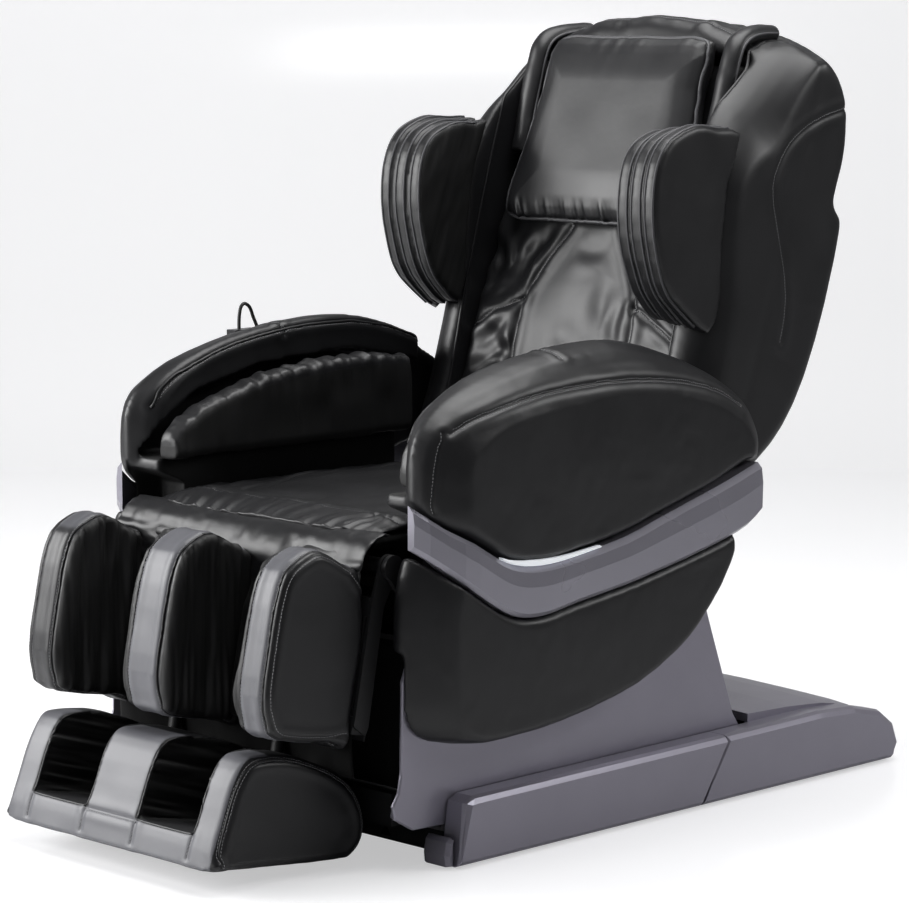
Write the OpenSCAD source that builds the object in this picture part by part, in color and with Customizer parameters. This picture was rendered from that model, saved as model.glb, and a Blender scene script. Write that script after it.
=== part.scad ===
// Full-body massage chair: a sliding, tilting seat on a low rail base, with a
// reclining back, a swinging leg rest, and every cover, frame, actuator and
// roller as its own piece. Millimetres. +X is the sitter's left, the chair
// faces -Y, and the origin is on the floor at the centre of the base.

/* [Base] */
// Length of the base rails
base_len = 1050; // [1020:5:1080]
// Width of a plastic rail cover
rail_w = 44; // [38:1:46]
// Height of the rail covers
rail_h = 110; // [104:1:114]
// Height of the rubber feet
foot_h = 12; // [9:1:15]
// Height of the base's steel tubes
base_tube_h = 34; // [30:1:36]
// Radius of a carriage roller
roller_r = 17; // [15:0.5:18]
// Thickness of the track's steel
track_t = 5; // [4:0.5:6]
// Radius of a transport wheel
wheel_r = 28; // [24:1:28]

/* [Body] */
// Width over the side panels
body_w = 780; // [770:2:800]
// Height of the seat surface above the floor
seat_h = 510; // [506:1:520]
// Thickness of a padded side panel
panel_t = 38; // [34:1:40]
// How far the wave trim stands out of the side panels
trim_proud = 7; // [4:0.5:9]
// Thickness of an arm pad
arm_t = 58; // [54:1:60]
// Thickness of the carriage skirts
skirt_t = 5; // [3:0.5:5]
// Thickness of the seat board
board_t = 15; // [12:1:16]
// Thickness of the loose seat topper
topper_t = 15; // [12:1:18]

/* [Back] */
// Lean of the back from upright, in degrees
back_lean = 19.7; // [19:0.1:20.5]
// Half width of the back shell
shell_hw = 325; // [322:1:326]
// Wall of the back shell
shell_t = 5; // [4:0.5:7]
// Half width of the back's centre pad
back_pad_hw = 236; // [230:1:238]
// Width of one shoulder wing layer
wing_t = 30; // [28:1:31]
// Radius of a massage roller
massage_r = 26; // [22:1:28]

/* [Leg rest] */
// Forward tilt of the leg rest at rest, in degrees
leg_tilt = 11; // [10.5:0.1:11.5]
// Half width of the calf pads
calf_hw = 285; // [281:1:285]
// Width of an outer calf pad
calf_w = 80; // [74:1:84]
// Width of the middle calf pad
calf_mid_w = 100; // [92:2:106]
// Half width of the foot box
foot_hw = 248; // [238:1:250]
// Width of a foot well
well_w = 130; // [120:2:134]

/* [Mechanism] */
// Travel of the carriage along the base
slide_travel = 160; // [140:5:170]
// Tilt of the seat, in degrees
tilt_range = 15; // [10:1:15]
// Recline of the back, in degrees
recline_range = 50; // [40:1:50]
// Swing of the leg rest, in degrees
leg_range = 70; // [60:1:70]
// Radius of the back and leg shafts
shaft_r = 12; // [10:0.5:13]
// Radius of the seat's tilt pins
tilt_pin_r = 8; // [6:0.5:9]
// Radius of the pins in the slotted levers
lever_pin_r = 6; // [5:0.5:7]
// Radius of an actuator's rod
rod_r = 8; // [7:0.5:9]
// Radius of an actuator's tube
actuator_r = 22; // [19:1:24]
// Radial clearance of shafts, rods and pins
fit = 0.06; // [0.04:0.01:0.09]

/* [Hidden] */
$fn = 48;

// Soft pieces stay this far from what they rest on
trim_gap = 0.4;
soft_gap = 0.3;

// Stations across the chair, from the outside in
half_w = body_w / 2;
panel_in = half_w - panel_t;
arm_in = half_w - arm_t;
rail_out = half_w - 5;
rail_in = rail_out - rail_w;
skirt_out = rail_in - 3;
skirt_in = skirt_out - skirt_t;
track_out = skirt_in - 5;
track_in = track_out - 36;
member_out = track_in - 6;
member_in = member_out - 24;
side_tube_out = arm_in - 6;
side_tube_in = side_tube_out - 30;
lug_out = side_tube_in + 8;
hinge_out = side_tube_in - 2;
hinge_t = 6;
back_plate_out = side_tube_in - 8;
core_in = arm_in - 70;
core_out = arm_in - soft_gap;
cushion_hw = core_in - 4;

// Stations along the chair, from the front end of the rails
seam_y = 580;
deck_y = 706;
tilt_pivot = [300, 300];
back_pivot = [515, seat_h - 70];
leg_pivot = [-60, seat_h - 55];

// Heights of the seat's structure, from the seat surface down
board_z = seat_h - 95;
side_tube_z = board_z - 40;
cross_z = side_tube_z - 30;
core_top = seat_h + 50;
cushion_z = board_z + board_t;
topper_z = seat_h - topper_t;

// Heights of the base's structure, from the floor up
tube_top = foot_h + base_tube_h;
roller_z = tube_top + track_t + roller_r + fit;
track_top = roller_z + roller_r + 2 + track_t;
member_z = roller_z - 10;
member_top = member_z + 50;
slide_z = roller_z + 12;

// Outlines of the side pieces: y from the front of the rails, z from the seat
wave_y = [-57, -20, 29, 81, 114, 147, 187, 242, 353, 423, 495, 591, 644, 674];
wave_z = [7, -26, -57, -88, -101, -106, -106, -99, -84, -69, -53, -30, -14, 0];
wave_h = [33, 32, 37, 38, 39, 39, 38, 36, 37, 40, 43, 45, 45, 40];
panel_low = [
    [-62, -36], [-72, -64], [-80, -110], [-83, -170], [-83, -230], [-76, -278],
    [-56, -305], [-20, -318], [36, -326], [162, -323], [284, -308], [390, -284],
    [483, -244], [541, -203], [593, -150], [624, -100]
];
arm_top = [
    [684, 44], [712, 38], [718, 79], [706, 110], [682, 143], [642, 170],
    [590, 198], [512, 227], [439, 246], [369, 254], [290, 251], [205, 242],
    [126, 226], [49, 203], [-12, 172], [-44, 140], [-54, 100], [-54, 48]
];
// How far back the front edge of the arms and side panels lies at each x
nose_push = [
    [272, 50], [285, 36], [300, 22], [315, 8], [327, 0], [345, 4], [360, 22],
    [375, 42], [390, 62]
];
// How far the arm's top drops, and its rear end comes in, at each x
arm_drop = [[300, 0], [330, 4], [350, 12], [368, 26], [380, 42], [390, 64]];
arm_rear = [[340, 0], [360, 14], [380, 32], [390, 44]];

// Outlines of the back: [back, up] from its pivot, along its lean
bolster_line = [
    [118, 897], [100, 900], [70, 898], [40, 886], [10, 856], [-15, 818],
    [-35, 770], [-50, 710], [-58, 650], [-60, 577], [-44, 486], [-14, 390],
    [-5, 323], [0, 200], [4, 66], [118, 66]
];
shell_line = [
    [118.3, 90], [200, 172], [248, 240], [278, 334], [288, 464], [281, 600],
    [270, 628], [243, 648], [243, 740], [230, 818], [196, 876], [150, 903], [118.3, 907]
];
// Outline of the room inside the shell, open at its front
shell_room = [
    [118.3, 98], [195, 177], [242, 243], [272, 336], [282, 464], [275, 594],
    [262, 618], [237, 642], [237, 738], [224, 814], [191, 870], [148, 896], [118.3, 899]
];
// Drop of the back's top at its full width, and how sharply it sets in
crown_drop = 72;
crown_power = 2.45;
// How far the outer front of the bolsters lies behind their inner front
bolster_sweep = 50;
wing_line = [
    [-25, 334], [-83, 351], [-124, 380], [-170, 442], [-194, 500], [-202, 554],
    [-188, 600], [-140, 639], [-97, 652], [-59, 664], [-61, 577], [-45, 486],
    [-15, 390]
];
pillow_z = [512, 830];
pillow_hw = [200, 173];
frame_x = [205, 230];
frame_t = [66, 106];
head_s = 300;
head_travel = [-100, 330];
arm_pivot_t = 125;

// Outlines of the leg rest: [forward, down] from its pivot, along its tilt
calf_line = [
    [156, -4], [187, 24], [198, 74], [200, 148], [199, 209], [184, 249],
    [164, 268], [57, 269], [-6, 265], [32, 35], [73, 4], [127, -13]
];
foot_line = [
    [187, 306], [165, 296], [109, 292], [62, 298], [2, 313], [-43, 338],
    [-71, 375], [-76, 412], [-60, 438], [-30, 449], [90, 461], [212, 470],
    [226, 462], [217, 410], [204, 345]
];
well_floor = 421;
well_back = 20;
plate_end = 240;
foot_slide_x = 120;
foot_travel = 60;

// ---- Shapes -------------------------------------------------------------

// Point on a smooth curve between b and c
function curve_at(a, b, c, d, t) =
    0.5 * (2 * b + (c - a) * t + (2 * a - 5 * b + 4 * c - d) * t * t
        + (3 * b - a - 3 * c + d) * t * t * t);

// Smooth closed line through the points, n steps between each two
function closed_curve(points, n = 2) =
    let (m = len(points))
    [for (i = [0:m - 1], k = [0:n - 1])
        curve_at(points[(i + m - 1) % m], points[i], points[(i + 1) % m],
            points[(i + 2) % m], k / n)];

// Smooth open line through the points, n steps between each two
function open_curve(points, n = 2) =
    let (m = len(points))
    [for (i = [0:m - 2], k = [0:n - 1])
        curve_at(points[max(i - 1, 0)], points[i], points[i + 1],
            points[min(i + 2, m - 1)], k / n), points[m - 1]];

function reversed(points) = [for (i = [len(points) - 1:-1:0]) points[i]];

function unit(v) = v / max(norm(v), 0.0001);

// Unit vector that points into a counter-clockwise outline at point i
function inward(points, i) =
    let (m = len(points), d = unit(points[(i + 1) % m] - points[(i + m - 1) % m]))
    [-d[1], d[0]];

// Stations [x, inset] of a block with edges rounded by r0 at x0 and r1 at x1
function rounded_rings(x0, x1, r0, r1, n = 3) = concat(
    [for (k = [0:n]) [x0 + r0 * (1 - sin(90 * k / n)), r0 * (1 - cos(90 - 90 * k / n))]],
    [for (k = [0:n]) [x1 - r1 * (1 - sin(90 * k / n)), r1 * (1 - cos(90 * k / n))]]);

function clamp(v) = max(0, min(1, v));

function turn(a, b, c) = (b[0] - a[0]) * (c[1] - b[1]) - (b[1] - a[1]) * (c[0] - b[0]);

// How well the corner a, b, c can be cut off an outline: 0 where it can't
function corner_worth(points, left, a, b, c) =
    let (p = points[a], q = points[b], r = points[c], w = turn(p, q, r))
    w < 0.0001 ? 0
    : len([for (j = left) if (j != a && j != b && j != c
            && turn(p, q, points[j]) >= 0 && turn(q, r, points[j]) >= 0
            && turn(r, p, points[j]) >= 0) j]) > 0 ? 0
    : w / pow(max(norm(q - p), norm(r - q), norm(p - r)), 2);

// Triangles that fill a counter-clockwise outline, hollow or not
function filled(points, left, done = []) =
    let (m = len(left))
    m < 4 ? concat(done, [left])
    : let (worth = [for (i = [0:m - 1])
            corner_worth(points, left, left[(i + m - 1) % m], left[i], left[(i + 1) % m])],
        best = search(max(worth), worth)[0])
    filled(points, [for (i = [0:m - 1]) if (i != best) left[i]],
        concat(done, [[left[(best + m - 1) % m], left[best], left[(best + 1) % m]]]));

// Soft block: the outline, counter-clockwise in y and z, lofted along x, with
// each point then moved by warp
module slab(outline, rings, warp = function (p) p) {
    m = len(outline);
    n = len(rings);
    points = [for (ring = rings, i = [0:m - 1])
        let (p = outline[i] + inward(outline, i) * ring[1]) warp([ring[0], p[0], p[1]])];
    sides = [for (k = [0:n - 2], i = [0:m - 1])
        let (a = k * m + i, b = k * m + (i + 1) % m) each [[a, a + m, b + m], [a, b + m, b]]];
    ends = [for (k = [0, n - 1]) filled([for (i = [0:m - 1])
        let (p = points[k * m + i]) [p[1], p[2]]], [for (i = [0:m - 1]) i])];
    polyhedron(points, concat(ends[0], sides,
        [for (t = ends[1]) [for (i = [2:-1:0]) (n - 1) * m + t[i]]]));
}

// A straight extrusion along x of an outline in y and z
module plate_x(x0, x1) {
    translate([x0, 0, 0]) rotate([90, 0, 90]) linear_extrude(x1 - x0) children();
}

// A block from its lowest to its highest corner
module span(low, high) {
    translate(low) cube(high - low);
}

module rod_x(x0, x1, r) {
    translate([x0, 0, 0]) rotate([0, 90, 0]) cylinder(h = x1 - x0, r = r);
}

module rod_y(y0, y1, r) {
    translate([0, y1, 0]) rotate([90, 0, 0]) cylinder(h = y1 - y0, r = r);
}

module both_sides() {
    children();
    mirror([1, 0, 0]) children();
}

// Puts a piece given from the front of the rails into the chair's frame
module on_base() {
    translate([0, -base_len / 2, 0]) children();
}

// Local frame of the back: x across, y backward and z up along its lean
module on_back() {
    on_base() translate([0, back_pivot[0], back_pivot[1]]) rotate([-back_lean, 0, 0]) children();
}

// Local frame of the leg rest: x across, y backward and z up along its tilt
module on_leg() {
    on_base() translate([0, leg_pivot[0], leg_pivot[1]]) rotate([-leg_tilt, 0, 0]) children();
}

// Outline of a leg piece, from [forward, down] to [backward, up]
function leg_outline(points) = [for (p = points) [-p[0], -p[1]]];

// ---- Base ---------------------------------------------------------------

base_tube_in = skirt_in - 38;
base_tube_out = skirt_in - 3;
base_bars = [[20, 60], [505, 545], [960, 1000]];
cover_lugs = [90, 420, 820];
wheel_at = [base_len - 22, wheel_r + 5];
wheel_x = [212, 246];
axle_r = 6;

// Welded steel frame that the feet, tracks and covers are fixed to
module base_frame() {
    color("dimgray") on_base() {
        both_sides() {
            span([base_tube_in, 20, foot_h], [base_tube_out, 1000, tube_top]);
            for (y = cover_lugs)
                span([base_tube_out, y, foot_h + 4], [y > deck_y ? rail_in - 6 : rail_in, y + 30, tube_top - 6]);
            difference() {
                span([wheel_x[0] - 8, 1000, foot_h], [wheel_x[0] - 2, wheel_at[0] + 12, tube_top + 4]);
                translate([0, wheel_at[0], wheel_at[1]]) rod_x(wheel_x[0] - 20, wheel_x[0], axle_r + fit);
            }
        }
        for (bar = base_bars)
            span([-base_tube_in, bar[0], foot_h], [base_tube_in, bar[1], tube_top]);
        span([-16, 962, tube_top], [16, 980, slide_z + 14]);
    }
}

// The two channels that the carriage rolls in
module tracks() {
    color("silver") on_base() both_sides() {
        difference() {
            span([track_in, 20, tube_top], [track_out, 700, track_top]);
            span([track_in - 1, 19, tube_top + track_t], [track_out - track_t - 1, 701, track_top - track_t]);
        }
    }
}

function rail_outline(y0, y1, slant) = [
    [y0, 2], [y1 - slant, 2], [y1, rail_h], [y0 + 34, rail_h - 4], [y0 + 15, rail_h - 12]
];

// Moulded side cover of the base's front part, with its dark nose block
module rail_cover() {
    slab(rail_outline(0, seam_y + 30, 60),
        [[rail_in, 0], [rail_out - 14, 0], [rail_out - 6, 3], [rail_out, 10]]);
    slab([[-12, 3], [-0.2, 3], [-0.2, 46], [-4, 46], [-10, 40], [-14, 20]],
        [[rail_in - 24, 2], [rail_in - 18, 0], [rail_out - 22, 0], [rail_out - 14, 4]]);
    span([rail_in - 20, -0.2, 8], [rail_in, 16, 40]);
}

module rail_cover_left() {
    color("#5b565f") on_base() rail_cover();
}

module rail_cover_right() {
    color("#5b565f") on_base() mirror([1, 0, 0]) rail_cover();
}

deck_line = [[deck_y, 2], [base_len - 8, 2], [base_len - 2, 20], [base_len + 2, 34],
    [base_len - 12, 62], [base_len - 38, 86], [base_len - 80, 105], [base_len - 150, 118],
    [base_len - 240, 125], [deck_y, 127]];
side_line = [[seam_y - 28, 2], [base_len - 8, 2], [base_len + 2, 14], [base_len + 10, 32],
    [base_len - 4, 66], [base_len - 40, 92], [base_len - 110, 108], [base_len - 200, 113],
    [seam_y + 32, rail_h]];

// Crowned rear moulding: the deck over the frame's end and both rear rails
module rear_cover() {
    color("#5b565f") on_base() difference() {
        union() {
            slab(closed_curve(deck_line, 1), [
                [-rail_in, 3], [-300, -1], [-220, -5], [-110, -9], [0, -11],
                [110, -9], [220, -5], [300, -1], [rail_in, 3]]);
            both_sides() slab(side_line,
                [[rail_in, 0], [rail_out - 14, 0], [rail_out - 6, 3], [rail_out, 10]]);
        }
        slab([[deck_y - 16, -20], [base_len - 14, -20], [base_len - 12, 34], [base_len - 24, 58],
            [base_len - 46, 84], [base_len - 68, 102], [deck_y - 16, 116]],
            [[-rail_in + 6, 4], [-220, 0], [220, 0], [rail_in - 6, 4]]);
        span([-rail_in + 6, deck_y - 1, -20], [rail_in - 6, base_len + 30, foot_h - 4]);
        span([-half_w, deck_y - 200, -20], [half_w, base_len + 40, 2]);
        both_sides() {
            span([wheel_x[0] - 12, base_len - 50, -1], [wheel_x[1] + 6, base_len + 30, wheel_at[1] + wheel_r + 6]);
            slab([[deck_y + 22, 134], [deck_y + 46, 122], [deck_y + 96, 118], [deck_y + 116, 134]],
                [[70, 0], [80, 0], [176, 0], [186, 0]]);
        }
    }
}

// Rubber pads under the frame, with one at the centre of the base
module feet() {
    color("#202020") on_base() {
        for (x = [-1, 1], y = [60, 960])
            translate([x * (base_tube_in + base_tube_out) / 2, y, 0]) cylinder(h = foot_h, r = 17);
        translate([0, base_len / 2, 0]) cylinder(h = foot_h, r = 20);
    }
}

// Tube of the screw drive that pushes the carriage forward
module slide_actuator() {
    color("gray") on_base() translate([0, 0, slide_z]) {
        difference() {
            union() {
                rod_y(base_bars[1][1] + 130, 962, rod_r + 7);
                rod_y(880, 962, actuator_r);
            }
            rod_y(base_bars[1][1] + 120, 950, rod_r + fit);
        }
    }
}

// The pair of transport wheels on their stub axles at the rear
module transport_wheels() {
    color("#2a2a2c") on_base() translate([0, wheel_at[0], wheel_at[1]]) both_sides() {
        rotate([90, 0, 90]) translate([0, 0, wheel_x[0]]) rotate_extrude()
            polygon([[0, 0], [10, 0], [10, 6], [18, 6], [18, 1], [wheel_r - 3, 0], [wheel_r, 3],
                [wheel_r, 27], [wheel_r - 3, 30], [18, 29], [18, 24], [10, 24], [10, 30], [0, 30]]);
        rod_x(wheel_x[0] - 9, wheel_x[0], axle_r);
    }
}

// ---- Carriage -----------------------------------------------------------

carriage_bars = [[-50, -10], [280, 320], [440, 470], [600, 640]];
roller_y = [200, 570];
skirt_lugs = [40, 340, 585];
tilt_lean = 16.9;
tilt_rod_tip = [35, cross_z - 11];
tilt_rod_len = 235;
tilt_tip_r = 10;

module carriage_plate() {
    plate_x(member_out, member_out + hinge_t) difference() {
        union() {
            polygon([[210, track_top + 4], [390, track_top + 4], [390, member_top],
                [tilt_pivot[0] + 22, tilt_pivot[1]], [tilt_pivot[0] - 22, tilt_pivot[1]], [210, member_top]]);
            translate(tilt_pivot) circle(r = 22);
        }
        translate(tilt_pivot) circle(r = tilt_pin_r + fit);
        hull() {
            translate([tilt_pivot[0], 150]) circle(r = 26);
            translate([tilt_pivot[0], 220]) circle(r = 12);
        }
    }
}

// Rolling frame: side members, cross bars, the tilt plates and skirt lugs
module carriage_frame() {
    color("dimgray") on_base() {
        both_sides() {
            difference() {
                span([member_in, -50, member_z], [member_out, 640, member_top]);
                for (y = roller_y)
                    translate([0, y, roller_z]) rod_x(member_in - 1, member_out + 1, axle_r + fit);
            }
            carriage_plate();
            for (y = skirt_lugs)
                span([member_out, y, track_top + 4], [skirt_in, y + 30, member_top]);
        }
        for (bar = carriage_bars)
            span([-member_in, bar[0], member_z], [member_in, bar[1], member_top]);
    }
}

skirt_line = [
    [-60, 330], [-76, 290], [-78, 150], [-84, 122], [-96, 104], [-92, 84],
    [-54, 62], [14, 60], [21, 84], [34, 92], [300, 98], [690, 106],
    [676, 130], [612, 300], [600, 330]
];

// Side skirt of the carriage, with the turned-in lip at its front end
module skirt() {
    slab(skirt_line, [[skirt_in, 0], [skirt_out - 2, 0], [skirt_out, 2]]);
    difference() {
        slab([[-90, 86], [-54, 63], [13, 61], [17, 84], [-30, 90], [-84, 104]],
            [[skirt_in - 10, 3], [skirt_in - 7, 0], [skirt_in + 1, 0]]);
        translate([skirt_in - 5, -30, 40]) cylinder(h = 60, r = 2);
    }
}

module skirt_left() {
    color("#5b565f") on_base() skirt();
}

module skirt_right() {
    color("#5b565f") on_base() mirror([1, 0, 0]) skirt();
}

// Screw rod of the slide drive, fixed to the carriage's last bar
module slide_rod() {
    color("lightgray") on_base() translate([0, 0, slide_z])
        rod_y(carriage_bars[3][1], base_bars[1][1] + 130 + slide_travel + 100, rod_r);
}

module along_tilt_rod() {
    on_base() translate([0, tilt_rod_tip[0], tilt_rod_tip[1]]) rotate([-tilt_lean, 0, 0]) children();
}

// Tube of the tilt drive on the carriage's front bar
module tilt_actuator() {
    color("gray") difference() {
        union() {
            along_tilt_rod() {
                translate([0, 0, 10 - tilt_rod_len]) cylinder(h = 135, r = rod_r + 7);
                translate([0, 0, 10 - tilt_rod_len]) cylinder(h = 60, r = actuator_r);
            }
            on_base() span([-actuator_r, -50, member_top], [actuator_r, -10, member_top + 24]);
        }
        along_tilt_rod() translate([0, 0, -tilt_rod_len - 0.5]) cylinder(h = 200, r = rod_r + fit);
    }
}

// Rod of the tilt drive, with the round nose that lifts the seat
module tilt_rod() {
    color("lightgray") along_tilt_rod() {
        translate([0, 0, -tilt_rod_len + 14]) cylinder(h = tilt_rod_len - 18, r = rod_r);
        rod_x(-14, 14, tilt_tip_r);
    }
}

// Sealed box of the controller and power supply
module control_box() {
    color("#303033") on_base() {
        span([-110, 290, member_top], [110, 466, member_top + 70]);
        for (k = [0:7])
            span([-96 + 25 * k, 300, member_top + 70], [-86 + 25 * k, 456, member_top + 76]);
        span([-60, 466, member_top + 14], [-20, 474, member_top + 42]);
    }
}

// A pair of grooved rollers on one axle
module roller_axle(y) {
    color("#c8c8cc") on_base() translate([0, y, roller_z]) {
        rod_x(-track_in - 3, track_in + 3, axle_r);
        both_sides() rotate([90, 0, 90]) translate([0, 0, track_in + 3]) rotate_extrude()
            polygon([[0, 0], [roller_r - 2, 0], [roller_r, 2], [roller_r, 20], [roller_r - 2, 22],
                [10, 22], [10, 18], [0, 18]]);
    }
}

module front_rollers() {
    roller_axle(roller_y[0]);
}

module rear_rollers() {
    roller_axle(roller_y[1]);
}

// ---- Seat ---------------------------------------------------------------

seat_bars = [[20, 50], [410, 440]];
recline_x = 60;
leg_x = -60;
recline_z = back_pivot[1] - 86;
leg_rod_z = leg_pivot[1] - 66;
recline_throw = 86 * tan(recline_range / 2);
leg_throw = 66 * tan(leg_range / 2);
lever_t = 8;
fork_t = 6;
core_y = [-38, 490];
tube_front = -50;
board_y = [-35, 484];

module lug(at, z0, r, bore) {
    difference() {
        union() {
            translate([at[0] - r, z0]) square([2 * r, at[1] - z0]);
            translate(at) circle(r = r);
        }
        translate(at) circle(r = bore + fit);
    }
}

// Tilting steel frame with the lugs of the back, leg rest and tilt pins
module seat_frame() {
    color("dimgray") on_base() {
        both_sides() {
            span([side_tube_in, tube_front, side_tube_z], [side_tube_out, 575, board_z]);
            plate_x(side_tube_in, lug_out) difference() {
                union() {
                    translate(leg_pivot) circle(r = 19);
                    polygon([leg_pivot + [-9, -16], [tube_front, board_z], [tube_front + 14, board_z],
                        leg_pivot + [12, 10]]);
                }
                translate(leg_pivot) circle(r = shaft_r + fit);
            }
            plate_x(side_tube_in, lug_out) lug(back_pivot, board_z, 22, shaft_r);
            plate_x(side_tube_in, lug_out) difference() {
                union() {
                    polygon([[230, side_tube_z], [370, side_tube_z], [tilt_pivot[0] + 22, tilt_pivot[1]],
                        [tilt_pivot[0] - 22, tilt_pivot[1]]]);
                    translate(tilt_pivot) circle(r = 22);
                }
            }
            translate([0, tilt_pivot[0], tilt_pivot[1]]) rod_x(member_out - 4, side_tube_in, tilt_pin_r);
            for (y = [60, 440])
                span([side_tube_out, y, board_z - 25], [skirt_out, y + 30, board_z - 3]);
        }
        span([-side_tube_in, seat_bars[0][0], cross_z], [side_tube_in, seat_bars[0][1], side_tube_z]);
        span([-side_tube_in, seat_bars[1][0], side_tube_z], [side_tube_in, seat_bars[1][1], side_tube_z + 30]);
        both_sides() span([side_tube_in, seat_bars[0][0], cross_z], [side_tube_out, seat_bars[0][1], side_tube_z]);
    }
}

// Plywood board, notched for the leg rest's lever
module seat_board() {
    color("burlywood") on_base() difference() {
        span([-side_tube_out, board_y[0], board_z], [side_tube_out, board_y[1], cushion_z]);
        span([leg_x - 22, board_y[0] - 1, board_z - 1], [leg_x + 22, 6, cushion_z + 1]);
    }
}

cushion_line = [
    [-55, seat_h - 35], [-8, seat_h - 35], [2, cushion_z], [482, cushion_z], [490, cushion_z + 26],
    [538, cushion_z + 29], [546, cushion_z + 48], [540, topper_z - 4], [440, topper_z], [200, topper_z - 1],
    [40, topper_z], [-34, topper_z - 1], [-54, topper_z - 8]
];

// Foam seat cushion under the topper
module seat_cushion() {
    color("#1b1b1d") on_base() slab(cushion_line, rounded_rings(-cushion_hw, cushion_hw, 7, 7));
}

topper_line = [
    [-57, topper_z + 3], [-30, topper_z + 0.3], [300, topper_z + 0.3], [520, topper_z + 0.3],
    [536, topper_z + 5], [520, topper_z + 12], [300, seat_h + 2], [60, seat_h + 1], [-30, topper_z + 11]
];

// Loose ruched pad that lies on the cushion
module seat_topper() {
    color("#1b1b1d") on_base() slab(topper_line, [
        [-cushion_hw + 4, 5], [-cushion_hw + 10, 1], [-150, 0], [150, 0], [cushion_hw - 10, 1], [cushion_hw - 4, 5]]);
}

// Padded cover that wraps the front edge of the seat round the leg shaft
module knee_cover() {
    outer = 41;
    inner = 28;
    arc = [for (a = concat([for (b = [-22:8:90]) b], [100])) [-cos(a), sin(a)]];
    line = concat([for (p = reversed(arc)) leg_pivot + outer * p], [for (p = arc) leg_pivot + inner * p]);
    color("#1b1b1d") on_base() slab(line, [
        [-calf_hw + 2, 3], [-calf_hw + 7, 0], [calf_hw - 7, 0], [calf_hw - 2, 3]]);
}

function wave_edge(side) = open_curve(
    [for (i = [0:len(wave_y) - 1]) [wave_y[i], seat_h + wave_z[i] + side * wave_h[i]]]);

function from_seat(points) = [for (p = points) [p[0], seat_h + p[1]]];

// Height of the trim's lower (side -1) or upper edge at y
function edge_at(y, side) =
    lookup(y, [for (i = [0:len(wave_y) - 1]) [wave_y[i], seat_h + wave_z[i] + side * wave_h[i]]]);

// Rounds the front of the arms and side panels to a wedge seen from above,
// and keeps their edge along the trim
function nose_warp(p, side) =
    let (y = p[1] + lookup(p[0] * 390 / half_w, nose_push) * clamp((110 - p[1]) / 165))
    [p[0], y, p[2] + (edge_at(y, side) - edge_at(p[1], side))
        * clamp(1 - side * (p[2] - edge_at(p[1], side)) / 120)];

panel_rings = [
    [panel_in, 0], [panel_in + panel_t * 0.42, 0], [panel_in + panel_t * 0.73, 1.5],
    [panel_in + panel_t * 0.92, 5], [half_w, 9]
];
ridge_in = half_w - 105;
arm_rings = [
    [ridge_in, 14], [ridge_in + 4, 6], [ridge_in + 14, 0], [half_w - 62, 0], [half_w - 40, 1],
    [half_w - 22, 3], [half_w - 10, 7], [half_w, 13]
];

// Drops the outer top of the arm and draws its rear end in
function arm_warp(p) =
    let (x = p[0] * 390 / half_w, q = nose_warp(p, 1))
    [q[0], q[1] - lookup(x, arm_rear) * clamp((p[1] - 560) / 150),
        q[2] - lookup(x, arm_drop) * clamp((p[2] - seat_h - 40) / 200)];

// Lower padded side panel, with its front edge turned in over the skirt
module side_panel() {
    wave = wave_edge(-1);
    slab(concat(open_curve(from_seat(panel_low)), [for (i = [len(wave) - 4:-1:2]) wave[i]]),
        concat([[skirt_out + 0.4, 0]], panel_rings), function (p) nose_warp(p, -1) - [0, 0, 2 * trim_gap]);
    slab([[-62, seat_h - 36], [-72, seat_h - 64], [-80, seat_h - 110], [-82.3, 331.5], [-61, 331.5],
        [-60, seat_h - 110], [-51, seat_h - 64], [-41, edge_at(-41, -1)]],
        [[lug_out + 2, 0], [315, 0], [327, 0], [skirt_out, 0]],
        function (p) (p[1] < -61.5 ? nose_warp(p, -1) : p) - [0, 0, 2 * trim_gap]);
}

module side_panel_left() {
    color("#161617") on_base() side_panel();
}

module side_panel_right() {
    color("#161617") on_base() mirror([1, 0, 0]) side_panel();
}

// How far in the trim's outer face is at y, round the nose of the chair
function nose_in(y) = y > 60 ? 0 : pow((60 - y) / 132, 3.2) * 78;

// Wave-shaped trim that parts the arm pad from the side panel
module trim() {
    low = wave_edge(-1);
    high = wave_edge(1);
    m = len(low);
    section = [for (i = [0:m - 1])
        let (a = low[i], b = high[i], out = half_w + trim_proud - nose_in(a[0]),
            inner = min(panel_in, out - 14)) [
            [inner, b[0], b[1]], [out - 12, b[0], b[1]], [out - 3, b[0], b[1] - 9],
            [out, a[0] * 0.4 + b[0] * 0.6, a[1] * 0.4 + b[1] * 0.6],
            [out - 1, a[0], a[1] + 7], [out - 8, a[0], a[1]], [inner, a[0], a[1]]]];
    n = len(section[0]);
    sides = [for (k = [0:m - 2], i = [0:n - 1])
        let (a = k * n + i, b = k * n + (i + 1) % n) each [[a, a + n, b + n], [a, b + n, b]]];
    polyhedron([for (s = section) each s], concat([[for (i = [0:n - 1]) i]], sides,
        [[for (i = [n - 1:-1:0]) (m - 1) * n + i]]));
}

module trim_left() {
    color("#8b868f") on_base() trim();
}

module trim_right() {
    color("#8b868f") on_base() mirror([1, 0, 0]) trim();
}

light_y = [66, 322];

// Clear light strips let into the top edge of the trims
module light_strips() {
    edge = [for (p = wave_edge(1)) if (p[0] > light_y[0] && p[0] < light_y[1]) p];
    m = len(edge);
    line = concat([for (i = [0:m - 1]) edge[i] + [0, 0.2]],
        [for (i = [m - 1:-1:0]) edge[i] + [0, 2.8 + 6.5 * sin(180 * (i + 0.5) / m)]]);
    color("white") on_base() both_sides()
        slab(line, [[half_w - 7, 0], [half_w - 1, 0], [half_w + 2, 1]]);
}

// ---- Arms ---------------------------------------------------------------

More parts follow.
